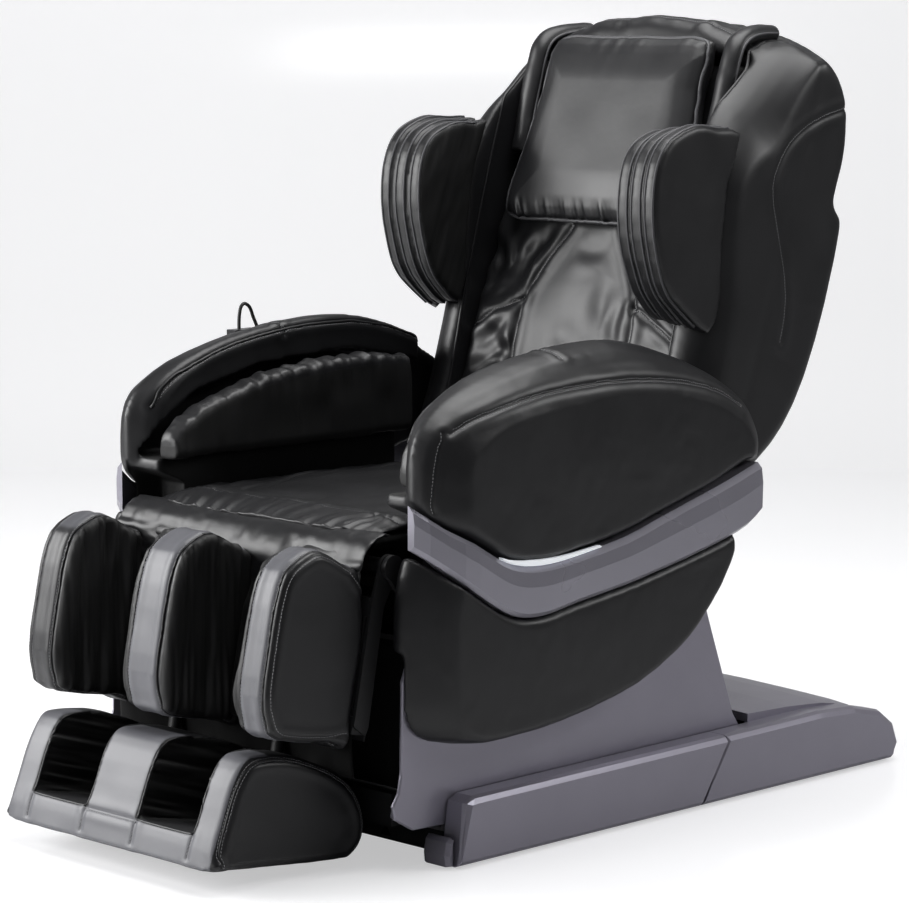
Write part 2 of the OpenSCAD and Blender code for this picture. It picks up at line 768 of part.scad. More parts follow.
arm_room = [
    [core_y[0] - soft_gap, board_z], [740, board_z], [740, 900], [590, 900], [566, core_top + 112],
    [400, core_top + 144], [200, core_top + 132], [60, core_top + 98], [-10, core_top + 52],
    [core_y[0] - soft_gap, core_top + 10]
];

// Arm pad, hollow on the inside for the plywood box and the forearm
module arm_pad() {
    wave = wave_edge(1);
    difference() {
        slab(concat(open_curve(from_seat(arm_top)), [for (i = [1:len(wave) - 1]) wave[i] + [0, trim_gap]]),
            arm_rings, function (p) arm_warp(p));
        plate_x(core_in, arm_in) polygon(arm_room);
    }
}

module arm_pad_left() {
    color("#161617") on_base() arm_pad();
}

module arm_pad_right() {
    color("#161617") on_base() mirror([1, 0, 0]) arm_pad();
}

// Plywood boxes inside the arms, open below on the seat board
module arm_cores() {
    wall = 12;
    color("burlywood") on_base() both_sides() difference() {
        span([core_in, core_y[0], cushion_z], [core_out, core_y[1], core_top]);
        for (y = [core_y[0] + wall, (core_y[0] + core_y[1] + wall) / 2])
            span([core_in + wall, y, cushion_z - 1],
                [core_out - wall, y + (core_y[1] - core_y[0] - 3 * wall) / 2, core_top - wall]);
    }
}

flap_line = [
    [-48, core_top + 0.3], [496, core_top + 0.3], [502, core_top + 40], [498, 692], [410, 699], [300, 698],
    [179, 684], [49, 648], [-35, 615], [-52, 590]
];

// Padded flaps with the forearm airbags, inside the arms
module arm_airbags() {
    color("#1b1b1d") on_base() both_sides() slab(flap_line,
        [[core_in - 36, 12], [core_in - 30, 3], [core_in - 16, 0], [core_in + 4, 0], [core_in + 8, 6]]);
}

// ---- Drives of the back and the leg rest ----------------------------------

motor_len = 110;
recline_tube = [104, 400];
leg_tube = [60, 330];
lever_play = 1.5;

// Tube from its mouth to its motor end, along y
module drive_tube(mouth, back) {
    near = mouth < back ? back - motor_len : back;
    difference() {
        union() {
            rod_y(min(mouth, back), max(mouth, back), rod_r + 6);
            rod_y(near, near + motor_len, actuator_r);
        }
        rod_y(min(mouth, back + 8) - (mouth < back ? 1 : 0), max(mouth + 1, back - 8), rod_r + fit);
    }
}

// Drive of the back, hung from the seat frame's rear bar
module recline_actuator() {
    color("gray") on_base() translate([recline_x, 0, recline_z]) {
        drive_tube(recline_tube[1], recline_tube[0]);
        span([-14, recline_tube[1] - 24, rod_r + 2], [14, seat_bars[1][1], side_tube_z - recline_z]);
    }
}

// Drive of the leg rest, seated on the seat frame's front bar
module leg_actuator() {
    color("gray") on_base() translate([leg_x, 0, leg_rod_z]) {
        drive_tube(leg_tube[0], leg_tube[1]);
        span([-14, seat_bars[0][0], side_tube_z - leg_rod_z], [14, leg_tube[0] + 20, -rod_r - 2]);
    }
}

// Rod with a forked end and its cross pin; way is the side the rod runs to
module pull_rod(pin_y, far_y) {
    way = far_y > pin_y ? 1 : -1;
    inner = lever_t / 2 + 1;
    outer = inner + fork_t;
    ends = [pin_y - way * 12, pin_y + way * 36];
    gap = [pin_y - way * 13, pin_y + way * 26];
    difference() {
        span([-outer, min(ends), -10], [outer, max(ends), 10]);
        span([-inner, min(gap), -11], [inner, max(gap), 11]);
    }
    translate([0, pin_y, 0]) rod_x(-inner - 1, inner + 1, lever_pin_r);
    rod_y(min(far_y, ends[1] - way), max(far_y, ends[1] - way), rod_r);
}

recline_pin_y = back_pivot[0] + recline_throw;
leg_pin_y = leg_pivot[0] + leg_throw;

module recline_rod() {
    color("lightgray") on_base() translate([recline_x, 0, recline_z])
        pull_rod(recline_pin_y, recline_pin_y - 350);
}

module leg_rod() {
    color("lightgray") on_base() translate([leg_x, 0, leg_rod_z])
        pull_rod(leg_pin_y, leg_pin_y + 250);
}

// Slotted lever from a shaft, for a pin that runs at the given drop below it
module slotted_lever(drop, half_range, root) {
    low = drop - 3;
    high = drop / cos(half_range) + 3;
    play = lever_pin_r + lever_play * half_range / 20;
    difference() {
        union() {
            circle(r = root);
            rotate(half_range - 90) {
                translate([0, -root + 2]) square([drop, 2 * root - 4]);
                translate([drop - 14, -play - 5]) square([high - drop + 14, 2 * play + 10]);
                translate([high, 0]) circle(r = play + 5);
            }
        }
        rotate(half_range - 90) {
            translate([low, -play]) square([high - low, 2 * play]);
            translate([low, 0]) circle(r = play);
            translate([high, 0]) circle(r = play);
        }
    }
}

// ---- Remote -------------------------------------------------------------

remote_y = [244, 296];
remote_z = [640, 738];
remote_t = 22;
remote_x = half_w + 5;
cord_d = 6;
cord_points = [
    [-remote_x - 11, 262, 738.4], [-remote_x - 11, 262, 750], [-remote_x - 11, 263, 762],
    [-remote_x - 11, 266, 774], [-remote_x - 11, 272, 780], [-remote_x - 11, 279, 779],
    [-remote_x - 11, 287, 772], [-remote_x - 11, 294, 756], [-remote_x - 9, 301, 738],
    [-remote_x - 8, 304, 715], [-remote_x - 8, 305, 690], [-remote_x - 8, 305, 660],
    [-remote_x - 8, 305, 590]
];

// Pocket on the sitter's right arm that the remote stands in
module remote_holder() {
    color("#202022") on_base() mirror([1, 0, 0]) difference() {
        span([half_w + soft_gap, remote_y[0] - 4, 580], [remote_x + remote_t + 4, remote_y[1] + 15, remote_z[0] + 55]);
        span([remote_x - 0.4, remote_y[0] - 0.4, remote_z[0]],
            [remote_x + remote_t + 0.4, remote_y[1] + 0.4, remote_z[0] + 56]);
        translate([remote_x + 8, 305, 579]) cylinder(h = 130, r = cord_d / 2 + 0.3);
    }
}

// Handset with its keys; the power key is a piece of its own
module remote_case() {
    color("#1c1c1e") on_base() mirror([1, 0, 0]) {
        difference() {
            span([remote_x, remote_y[0], remote_z[0]], [remote_x + remote_t, remote_y[1], remote_z[1]]);
            translate([remote_x + remote_t - 5, 270, remote_z[1] - 16]) rod_x(0, 6, 6.1);
            span([remote_x + remote_t - 0.8, 252, remote_z[1] - 60], [remote_x + remote_t + 1, 288, remote_z[1] - 30]);
        }
        for (y = [256, 270, 284])
            translate([remote_x + remote_t, y, remote_z[1] - 38]) rod_x(-0.8, 0.4, 4);
    }
}

module key_power() {
    color("#8c2f2c") on_base() mirror([1, 0, 0])
        translate([remote_x + remote_t - 3, 270, remote_z[1] - 16]) rod_x(0, 4, 6);
}

// Round tube along a line of points in a plane of constant x
module tube_along(points, r, sides = 8) {
    m = len(points);
    rings = [for (i = [0:m - 1])
        let (d = unit(points[min(i + 1, m - 1)] - points[max(i - 1, 0)]),
            u = unit(cross(d, [1, 0, 0])), v = cross(d, u))
            each [for (k = [0:sides - 1])
                points[i] + r * (cos(360 * k / sides) * u + sin(360 * k / sides) * v)]];
    polyhedron(rings, concat([[for (k = [0:sides - 1]) k]],
        [for (i = [0:m - 2], k = [0:sides - 1])
            let (a = i * sides + k, b = i * sides + (k + 1) % sides)
                each [[a, a + sides, b + sides], [a, b + sides, b]]],
        [[for (k = [sides - 1:-1:0]) (m - 1) * sides + k]]));
}

module remote_cord() {
    color("#141414") on_base() tube_along(open_curve(cord_points, 2), cord_d / 2);
}

// ---- Back ---------------------------------------------------------------

back_bars = [[28, 54], [764, 790]];
bracket_s = [200, 690];
roller_t = 104;
head_pivot_t = roller_t + 28;
head_reach = 70;
ear_x = [46, 58];
arm_x = [60, 68];

// Steel frame of the back with its shaft, plates, rails and lever
module back_frame() {
    color("dimgray") {
        on_back() {
            rod_x(-lug_out, lug_out, shaft_r);
            both_sides() {
                plate_x(back_plate_out - lever_t, back_plate_out) union() {
                    circle(r = 20);
                    polygon([[-6, -19], [18, -9], [frame_t[0] + 26, back_bars[0][0]], [frame_t[0] + 26, back_bars[0][1]],
                        [frame_t[0], back_bars[0][1]], [-8, 18]]);
                }
                span([frame_x[0], frame_t[0], back_bars[0][0]], [frame_x[1], frame_t[1], back_bars[1][1]]);
                for (s = bracket_s)
                    span([frame_x[1], frame_t[0] + 4, s], [back_pad_hw + 4 - soft_gap, frame_t[1] - 6, s + 40]);
            }
            span([-back_plate_out, frame_t[0], back_bars[0][0]], [back_plate_out, frame_t[0] + 26, back_bars[0][1]]);
            span([-frame_x[0], frame_t[0], back_bars[1][0]], [frame_x[0], frame_t[0] + 26, back_bars[1][1]]);
        }
        on_base() translate([0, back_pivot[0], back_pivot[1]])
            plate_x(recline_x - lever_t / 2, recline_x + lever_t / 2)
                slotted_lever(back_pivot[1] - recline_z, recline_range / 2, shaft_r + 3);
    }
}

// Lowers the top of the back towards its sides
function crown_warp(p) = [p[0], p[1],
    p[2] - crown_drop * pow(abs(p[0]) / shell_hw, crown_power) * clamp((p[2] - 560) / 260)
        * (1 + 1.3 * clamp((100 - p[1]) / 100))];

// How far the front of the back lies behind its line at x
function sweep_at(x) = bolster_sweep * pow(max(0, x - shell_hw + 70) / 70, 2);

shell_rings = [[shell_hw, 9], [shell_hw - 3, 4], [shell_hw - 10, 0], [shell_hw - 24, 0], [shell_hw - 50, 0],
    [shell_hw - 100, 0], [120, 0]];

// Draws the rear of the shell in towards its sides
shell_round = [[shell_hw - 60, 0], [shell_hw - 32, 0.03], [shell_hw - 14, 0.08], [shell_hw, 0.16]];
function shell_warp(p) = let (q = crown_warp(p))
    [q[0], q[1] - max(0, q[1] - 118) * lookup(abs(p[0]), shell_round), q[2]];

// Rings on both sides of the middle from those of one side, from the outside in
function mirrored(rings) = concat([for (r = rings) [-r[0], r[1]]], [[0, rings[len(rings) - 1][1]]],
    [for (r = reversed(rings)) r]);

// Hollow rear shell of the back, open to the front along each line's closing edge
module back_shell() {
    outer = open_curve(shell_line);
    room = open_curve(shell_room);
    rings = mirrored(shell_rings);
    room_x = [for (w = [12, 14, 18, 26, 50, 100]) shell_hw - w];
    room_rings = concat([for (x = room_x) -x], [-120, 0, 120], reversed(room_x));
    m = len(outer);
    q = len(room);
    n = len(rings);
    points = concat(
        [for (ring = rings, i = [0:m - 1])
            let (p = outer[i] + inward(outer, i) * ring[1]) shell_warp([ring[0], p[0], p[1]])],
        [for (x = room_rings, p = room) shell_warp([x, p[0], p[1]])]);
    skin = [for (k = [0:n - 2], i = [0:m - 2])
        let (a = k * m + i, b = a + 1) each [[a, a + m, b + m], [a, b + m, b]]];
    lining = [for (k = [0:n - 2], i = [0:q - 2])
        let (a = n * m + k * q + i, b = a + 1) each [[a, b + q, a + q], [a, b, b + q]]];
    edge = concat([for (k = [0:n - 1]) k * m + m - 1], [for (k = [n - 1:-1:0]) k * m]);
    mouth = concat([for (k = [0:n - 1]) n * m + k * q + q - 1], [for (k = [n - 1:-1:0]) n * m + k * q]);
    rim = [for (j = [0:2 * n - 1]) let (k = (j + 1) % (2 * n))
        each [[edge[j], edge[k], mouth[k]], [edge[j], mouth[k], mouth[j]]]];
    ends = [for (k = [0, n - 1]) filled([for (i = [0:m - 1])
        let (p = points[k * m + i]) [p[1], p[2]]], [for (i = [0:m - 1]) i])];
    walls = filled([for (i = [0:q - 1]) let (p = points[n * m + i]) [p[1], p[2]]],
        [for (i = [0:q - 1]) i]);
    color("#161617") on_back() polyhedron(points, concat(skin, lining, rim, ends[0],
        [for (t = ends[1]) [for (i = [2:-1:0]) (n - 1) * m + t[i]]],
        [for (t = walls) [for (i = [2:-1:0]) n * m + t[i]]],
        [for (t = walls) [for (i = t) n * m + (n - 1) * q + i]]));
}

bolster_in = back_pad_hw + 4;
bolster_rings = [
    [bolster_in, 7], [bolster_in + 8, 1], [bolster_in + 20, 0], [shell_hw - 48, 0], [shell_hw - 30, 0],
    [shell_hw - 14, 0.5], [shell_hw - 5, 2], [shell_hw, 6]
];

// Sweeps the outer front of a bolster back to the shell
function bolster_warp(p) =
    let (q = crown_warp(p)) [q[0], q[1] + sweep_at(p[0]) * clamp((118 - p[1]) / 110), q[2]];

// Long side bolster that holds the sitter's shoulders
module bolster() {
    slab(open_curve(bolster_line), bolster_rings, function (p) bolster_warp(p));
}

module bolster_left() {
    color("#161617") on_back() bolster();
}

module bolster_right() {
    color("#161617") on_back() mirror([1, 0, 0]) bolster();
}

// Padded roll along the top of the back
module top_bolster() {
    color("#161617") on_back() slab(open_curve([
        [23.3, 814], [40, 807], [70, 805], [118, 803], [118, 884], [100, 898], [60, 893], [32, 880], [23.3, 862]]),
        mirrored([[back_pad_hw + 3.7, 5], [back_pad_hw - 4, 1], [back_pad_hw - 30, 0], [120, 0]]),
        function (p) [p[0], p[1], max(crown_warp(p)[2], p[2] - 0.85 * max(0, p[2] - 816))]);
}

// Long centre pad between the bolsters, over the massage head
module back_pad() {
    color("#1b1b1d") on_back() slab(open_curve([
        [frame_t[0] - soft_gap, 797], [46, 798], [33, 790], [29, 600], [24, 400], [27, 160], [32, 40],
        [46, 32], [frame_t[0] - soft_gap, 32]]),
        [[-back_pad_hw, 6], [-back_pad_hw + 12, 1], [-120, 0], [120, 0], [back_pad_hw - 12, 1], [back_pad_hw, 6]]);
}

// Head pillow that hangs in front of the centre pad
module head_pillow() {
    outline = [
        [-pillow_hw[0], pillow_z[0]], [-100, pillow_z[0] - 6], [100, pillow_z[0] - 6], [pillow_hw[0], pillow_z[0]],
        [pillow_hw[0] - 6, 620], [pillow_hw[1] + 4, 740], [pillow_hw[1], pillow_z[1]],
        [80, pillow_z[1] + 6], [-80, pillow_z[1] + 6], [-pillow_hw[1], pillow_z[1]],
        [-pillow_hw[1] - 4, 740], [-pillow_hw[0] + 6, 620]];
    color("#19191b") on_back() rotate([0, 0, 90]) slab(closed_curve(outline), [
        [-16, 40], [-13, 22], [-6, 8], [4, 1], [12, 0], [20, 4], [23, 14]]);
}

wing_x = [222, 253.3, 284.6];

// One shoulder wing: three padded layers side by side
module wing() {
    outline = closed_curve(reversed(wing_line));
    for (i = [0:2]) {
        inset = 8 - 4 * i;
        slab(outline, [[wing_x[i], inset + 6], [wing_x[i] + 3, inset + 2.5], [wing_x[i] + 9, inset],
            [wing_x[i] + wing_t - 8, inset], [wing_x[i] + wing_t - 2, inset + 2.5],
            [wing_x[i] + wing_t + 1, inset + 6]], function (p)
                [p[0], p[1] - 0.6 + sweep_at(p[0]) * clamp((p[1] + 110) / 50), p[2]]);
    }
}

module wing_left() {
    color("#161617") on_back() wing();
}

module wing_right() {
    color("#161617") on_back() mirror([1, 0, 0]) wing();
}

// Massage head that travels on the frame's rails
module head_carriage() {
    color("silver") on_back() translate([0, 0, head_s]) {
        span([-190, head_pivot_t + 18, -32], [190, head_pivot_t + 28, 32]);
        span([-60, head_pivot_t + 28, -30], [60, head_pivot_t + 52, 30]);
        both_sides() {
            span([186, frame_t[0] + 6, -36], [194, head_pivot_t + 28, 36]);
            for (s = [-34, 10])
                span([194, frame_t[0] + 8, s], [frame_x[0] - fit, frame_t[1] - 4, s + 24]);
            plate_x(ear_x[0], ear_x[1]) union() {
                translate([head_pivot_t, 0]) circle(r = 14);
                translate([head_pivot_t, -14]) square([20, 28]);
            }
            translate([0, head_pivot_t, 0]) rod_x(ear_x[1] - 1, arm_x[1] + 2, tilt_pin_r);
        }
    }
}

module at_head(s) {
    translate([0, roller_t, head_s + s]) children();
}

// Rocking arms that hold the four massage rollers
module roller_arms() {
    color("#303033") on_back() {
        both_sides() plate_x(arm_x[0], arm_x[1]) translate([roller_t, head_s]) difference() {
            union() {
                polygon([[-12, -head_reach], [2, -head_reach - 11], [43, -6], [43, 6], [2, head_reach + 11],
                    [-12, head_reach], [8, 0]]);
                for (s = [-head_reach, head_reach]) translate([0, s]) circle(r = 13);
                translate([head_pivot_t - roller_t, 0]) circle(r = 17);
            }
            for (s = [-head_reach, head_reach]) translate([0, s]) circle(r = axle_r + fit);
            translate([head_pivot_t - roller_t, 0]) circle(r = tilt_pin_r + fit);
        }
        for (s = [-40, 40])
            translate([0, roller_t + 14, head_s + s]) rod_x(-arm_x[0] - 1, arm_x[0] + 1, 5);
    }
}

module massage_rollers() {
    color("#c9b9a0") {
        rod_x(-arm_x[1] - 4, arm_x[1] + 4, axle_r);
        both_sides() rotate([90, 0, 90]) translate([0, 0, arm_x[1] + 3]) rotate_extrude()
            polygon([[0, 0], [massage_r * 0.72, 0], [massage_r * 0.92, 4], [massage_r, 10], [massage_r, 18],
                [massage_r * 0.92, 24], [massage_r * 0.72, 28], [0, 28]]);
    }
}

module rollers_upper() {
    on_back() at_head(head_reach) massage_rollers();
}

module rollers_lower() {
    on_back() at_head(-head_reach) massage_rollers();
}

// ---- Leg rest -----------------------------------------------------------

leg_bars = [[48, 76], [226, 252]];
tube_side = 26;
slide_r = 10;
sleeve_w = [40, 262];
slide_w = [150, 318];

// Span in the leg rest's frame, given forward and down
module leg_span(low, high) {
    span([low[0], -high[1], -high[2]], [high[0], -low[1], -low[2]]);
}

// Swinging frame: shaft, side plates, cross tubes, sleeves and the lever
module leg_frame() {
    color("dimgray") {
        on_leg() {
            rod_x(-lug_out, lug_out, shaft_r);
            both_sides() {
                plate_x(hinge_out - hinge_t, hinge_out) union() {
                    circle(r = 19);
                    polygon([[8, 16], [-17, 8], [-26, -60], [-28, -plate_end], [-2, -plate_end - 12],
                        [2, -plate_end], [0, -60], [18, -6]]);
                }
            }
            difference() {
                union() {
                    for (bar = leg_bars)
                        leg_span([-hinge_out + hinge_t, 0, bar[0]], [hinge_out - hinge_t, tube_side, bar[1]]);
                    for (x = [-1, 1])
                        translate([x * foot_slide_x, -tube_side / 2, -sleeve_w[1]])
                            cylinder(h = sleeve_w[1] - sleeve_w[0] - 12, r = slide_r + 3);
                }
                for (x = [-1, 1])
                    translate([x * foot_slide_x, -tube_side / 2, -sleeve_w[1] - 1])
                        cylinder(h = sleeve_w[1] - sleeve_w[0] - 20, r = slide_r + fit);
            }
        }
        on_base() translate([0, leg_pivot[0], leg_pivot[1]])
            plate_x(leg_x - lever_t / 2, leg_x + lever_t / 2)
                slotted_lever(leg_pivot[1] - leg_rod_z, leg_range / 2, shaft_r + 4);
    }
}

// Moulded rear tray of the leg rest
module leg_cover() {
    color("#202022") on_leg() difference() {
        leg_span([-calf_hw + 1, -8, 46], [calf_hw - 1, tube_side, 262]);
        leg_span([-calf_hw + 5, -4, 47.5], [calf_hw - 5, tube_side + 1, 259]);
        leg_span([-calf_hw, -4, 40], [calf_hw, tube_side + 1, 76.5]);
        leg_span([-calf_hw, -4, 225], [calf_hw, tube_side + 1, 270]);
    }
}

calf_rings = [[0, 14], [3, 8], [10, 3], [22, 0]];

// Padded calf upright between x0 and x1
module calf(x0, x1) {
    n = len(calf_rings);
    slab(closed_curve(leg_outline(calf_line)), concat(
        [for (ring = calf_rings) [x0 + ring[0], ring[1]]],
        [for (i = [n - 1:-1:0]) [x1 - calf_rings[i][0], calf_rings[i][1]]]));
}

// Room behind the pads for the frame and the cover
module calf_back_room() {
    leg_span([-calf_hw - 5, -20, -20], [calf_hw + 5, tube_side + soft_gap, 300]);
}

module calf_left() {
    color("#161617") on_leg() difference() {
        calf(calf_hw - calf_w, calf_hw);
        calf_back_room();
    }
}

module calf_middle() {
    color("#161617") on_leg() difference() {
        calf(-calf_mid_w / 2, calf_mid_w / 2);
        calf_back_room();
    }
}

module calf_right() {
    color("#161617") on_leg() mirror([1, 0, 0]) difference() {
        calf(calf_hw - calf_w, calf_hw);
        calf_back_room();
    }
}

// Soft floors of the two calf channels
module calf_pads() {
    line = [[27, 44], [27, 262], [62, 258], [66, 180], [64, 90], [50, 44]];
    color("#101011") on_leg() both_sides() slab(reversed(leg_outline(line)), [
        [calf_mid_w / 2 + 2, 4], [calf_mid_w / 2 + 8, 0], [calf_hw - calf_w - 8, 0], [calf_hw - calf_w - 2, 4]]);
}

// Foot box with its two open wells
module foot_box() {
    line = closed_curve(reversed(leg_outline(foot_line)));
    well = [calf_mid_w / 2 + 8, calf_mid_w / 2 + 8 + well_w];
    color("#161617") on_leg() difference() {
        slab(line, [[-foot_hw, 15], [-foot_hw + 4, 8], [-foot_hw + 12, 3], [-foot_hw + 28, 0],
            [foot_hw - 28, 0], [foot_hw - 12, 3], [foot_hw - 4, 8], [foot_hw, 15]]);
        both_sides() {
            slab(reversed(leg_outline([[250, 270], [well_back, 270], [well_back - 12, 300], [well_back - 12, 400],
                [well_back, well_floor], [250, well_floor]])),
                [[well[0], -1], [well[0] + 4, 0], [well[1] - 4, 0], [well[1], -1]]);
            translate([foot_slide_x, -tube_side / 2, -slide_w[1]]) cylinder(h = 60, r = slide_r + 0.2);
        }
    }
}

// Rods that carry the foot box and slide in the frame's sleeves
module foot_slides() {
    color("lightgray") on_leg() both_sides()
        translate([foot_slide_x, -tube_side / 2, -slide_w[1]])
            cylinder(h = slide_w[1] - slide_w[0], r = slide_r);
}

// ---- Nodes --------------------------------------------------------------

base_frame();
tracks();
rail_cover_left();
rail_cover_right();
rear_cover();
feet();
slide_actuator();
transport_wheels();
carriage_frame();
skirt_left();
skirt_right();
slide_rod();
tilt_actuator();
control_box();
front_rollers();
rear_rollers();
tilt_rod();
seat_frame();
seat_board();
seat_cushion();
seat_topper();
knee_cover();
side_panel_left();
side_panel_right();
trim_left();
trim_right();
light_strips();
arm_pad_left();
arm_pad_right();
arm_cores();
arm_airbags();
recline_actuator();
leg_actuator();
remote_holder();
recline_rod();
leg_rod();
remote_case();
remote_cord();
key_power();
back_frame();
back_shell();
bolster_left();
bolster_right();
top_bolster();
back_pad();
head_pillow();
wing_left();
wing_right();
head_carriage();
roller_arms();
rollers_upper();
rollers_lower();
leg_frame();
leg_cover();
calf_left();
calf_middle();
calf_right();
calf_pads();
foot_box();
foot_slides();
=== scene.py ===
"""Looks of the massage chair: padded pieces, stitching, trims and studio."""
import math

import bmesh
import bpy
import numpy as np
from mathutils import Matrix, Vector
from mathutils.bvhtree import BVHTree


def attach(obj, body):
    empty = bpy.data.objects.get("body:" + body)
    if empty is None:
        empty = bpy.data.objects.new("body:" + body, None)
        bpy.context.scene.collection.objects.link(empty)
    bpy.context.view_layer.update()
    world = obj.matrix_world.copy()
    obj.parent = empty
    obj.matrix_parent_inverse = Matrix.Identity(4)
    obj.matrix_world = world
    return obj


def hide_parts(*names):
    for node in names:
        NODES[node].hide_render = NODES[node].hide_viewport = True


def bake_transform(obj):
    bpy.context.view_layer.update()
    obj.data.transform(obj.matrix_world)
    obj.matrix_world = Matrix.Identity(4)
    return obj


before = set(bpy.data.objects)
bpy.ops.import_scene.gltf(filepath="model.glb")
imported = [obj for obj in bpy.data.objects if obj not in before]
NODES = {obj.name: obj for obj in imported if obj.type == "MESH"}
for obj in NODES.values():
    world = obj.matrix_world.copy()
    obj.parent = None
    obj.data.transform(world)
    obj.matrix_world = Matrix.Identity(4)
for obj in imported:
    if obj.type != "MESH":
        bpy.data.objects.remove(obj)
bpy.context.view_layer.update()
MM = 0.001

# ---- Camera -----------------------------------------------------------------

CAMERA_TURN = math.radians(45.13)
CAMERA_DIP = 7.68

camera = bpy.data.objects.new("camera", bpy.data.cameras.new("camera"))
bpy.context.scene.collection.objects.link(camera)
camera.location = (3.8972, -4.036, 1.3007)
camera.rotation_euler = (math.radians(90 - CAMERA_DIP), 0, CAMERA_TURN)
camera.data.sensor_fit = "HORIZONTAL"
camera.data.sensor_width = 36
camera.data.lens = 135.2
camera.data.clip_end = 60
bpy.context.scene.camera = camera

# ---- Places -------------------------------------------------------------------

SIDES = (("left", 1), ("right", -1))

BACK_PIVOT = np.array([0, -0.010, 0.440])
BACK_T = np.array([0, 0.94147, -0.33710])
BACK_S = np.array([0, 0.33710, 0.94147])
LEG_PIVOT = np.array([0, -0.585, 0.455])
LEG_F = np.array([0, -0.98163, 0.19081])
LEG_D = np.array([0, -0.19081, -0.98163])
SIDEWAYS = np.array([1.0, 0, 0])


def on_back(x, t, s):
    """Point of the back, from millimetres across, rearward and up its lean."""
    return BACK_PIVOT + MM * (x * SIDEWAYS + t * BACK_T + s * BACK_S)


def on_leg(x, f, d):
    """Point of the leg rest, from millimetres across, forward and down."""
    return LEG_PIVOT + MM * (x * SIDEWAYS + f * LEG_F + d * LEG_D)


def back_places(co):
    """Across, rearward and up the back's lean of each point, in millimetres."""
    rel = (co - BACK_PIVOT) / MM
    return rel[:, 0], rel @ BACK_T, rel @ BACK_S


def leg_places(co):
    """Across, forward and down of each point on the leg rest, in millimetres."""
    rel = (co - LEG_PIVOT) / MM
    return rel[:, 0], rel @ LEG_F, rel @ LEG_D


def on_seat(x, y, z):
    """Point of the seat or base, from millimetres, y from the rails' front."""
    return np.array([x, y - 525, z]) * MM


# ---- Numbers on points --------------------------------------------------------


def ease(v):
    """Smooth step from 0 to 1."""
    v = np.clip(v, 0, 1)
    return v * v * (3 - 2 * v)


def ripple(co, size, seed=0.0):
    """Smooth noise from -1 to 1 on points, size metres a cell."""
    p = np.asarray(co, float) / np.asarray(size) + seed * 7.31
    cell = np.floor(p)
    f = p - cell
    f = f * f * f * (f * (f * 6 - 15) + 10)
    out = np.zeros(len(p))
    for k in range(8):
        d = np.array([k & 1, k >> 1 & 1, k >> 2])
        q = cell + d
        h = np.sin(q @ np.array([127.1, 311.7, 74.7])) * 43758.5453
        weight = np.prod(np.where(d, f, 1 - f), axis=1)
        out += weight * ((h - np.floor(h)) * 2 - 1)
    return out


def smooth_line(points, n=12, closed=False):
    """Points along a smooth curve through the given ones."""
    p = [np.array(q, float) for q in points]
    m = len(p)
    out = []
    for i in range(m if closed else m - 1):
        a, b, c, d = ((p[(i + k) % m] if closed else p[min(max(i + k, 0), m - 1)]) for k in (-1, 0, 1, 2))
        for t in np.arange(n) / n:
            out.append(0.5 * (2 * b + (c - a) * t + (2 * a - 5 * b + 4 * c - d) * t**2
                              + (3 * b - a - 3 * c + d) * t**3))
    if not closed:
        out.append(p[-1])
    return np.array(out)


def even_line(line, pitch, closed=False):
    """The line's points moved to an even pitch along it."""
    line = np.asarray(line)
    if closed:
        line = np.vstack([line, line[:1]])
    step = np.linalg.norm(np.diff(line, axis=0), axis=1)
    along = np.concatenate([[0], np.cumsum(step)])
    n = max(2, round(along[-1] / pitch))
    at = np.linspace(0, along[-1], n + 1)
    if closed:
        at = at[:-1]
    return np.stack([np.interp(at, along, line[:, k]) for k in range(3)], 1)


def distance_to(co, line, closed=False, reach=0.04):
    """Distance of points from a line, out to reach, and how far along it they are."""
    line = np.asarray(line)
    starts, ends = (line, np.roll(line, -1, 0)) if closed else (line[:-1], line[1:])
    best, at = np.full(len(co), 1e9), np.zeros(len(co))
    close = np.flatnonzero(((co > line.min(0) - reach) & (co < line.max(0) + reach)).all(1))
    p = co[close]
    if not len(p):
        return best, at
    nearest = ((line * line).sum(1) - 2 * p @ line.T).argmin(1)
    for step in (0, -1):
        i = (nearest + step) % len(starts) if closed else np.clip(nearest + step, 0, len(starts) - 1)
        a, d = starts[i], ends[i] - starts[i]
        t = np.clip(((p - a) * d).sum(1) / np.maximum((d * d).sum(1), 1e-12), 0, 1)
        r = np.linalg.norm(p - a - t[:, None] * d, axis=1)
        nearer = r < best[close]
        best[close] = np.where(nearer, r, best[close])
        at[close] = np.where(nearer, (i + t) / len(starts), at[close])
    return best, at


# ---- Meshes -------------------------------------------------------------------


def add_object(name, mesh):
    piece = bpy.data.objects.new(name, mesh)
    bpy.context.scene.collection.objects.link(piece)
    return piece


def mesh_of(name, verts, faces):
    mesh = bpy.data.meshes.new(name)
    mesh.from_pydata([tuple(map(float, v)) for v in verts], [], [tuple(map(int, f)) for f in faces])
    mesh.validate()
    return mesh


def points_of(piece):
    co = np.zeros(len(piece.data.vertices) * 3)
    piece.data.vertices.foreach_get("co", co)
    return co.reshape(-1, 3)


def normals_of(piece):
    n = np.zeros(len(piece.data.vertices) * 3)
    piece.data.vertex_normals.foreach_get("vector", n)
    return n.reshape(-1, 3)


def set_points(piece, co):
    piece.data.vertices.foreach_set("co", np.asarray(co, float).ravel())
    piece.data.update()


def push(piece, amount):
    """Moves each point along its normal by an amount in metres."""
    set_points(piece, points_of(piece) + normals_of(piece) * np.asarray(amount)[:, None])


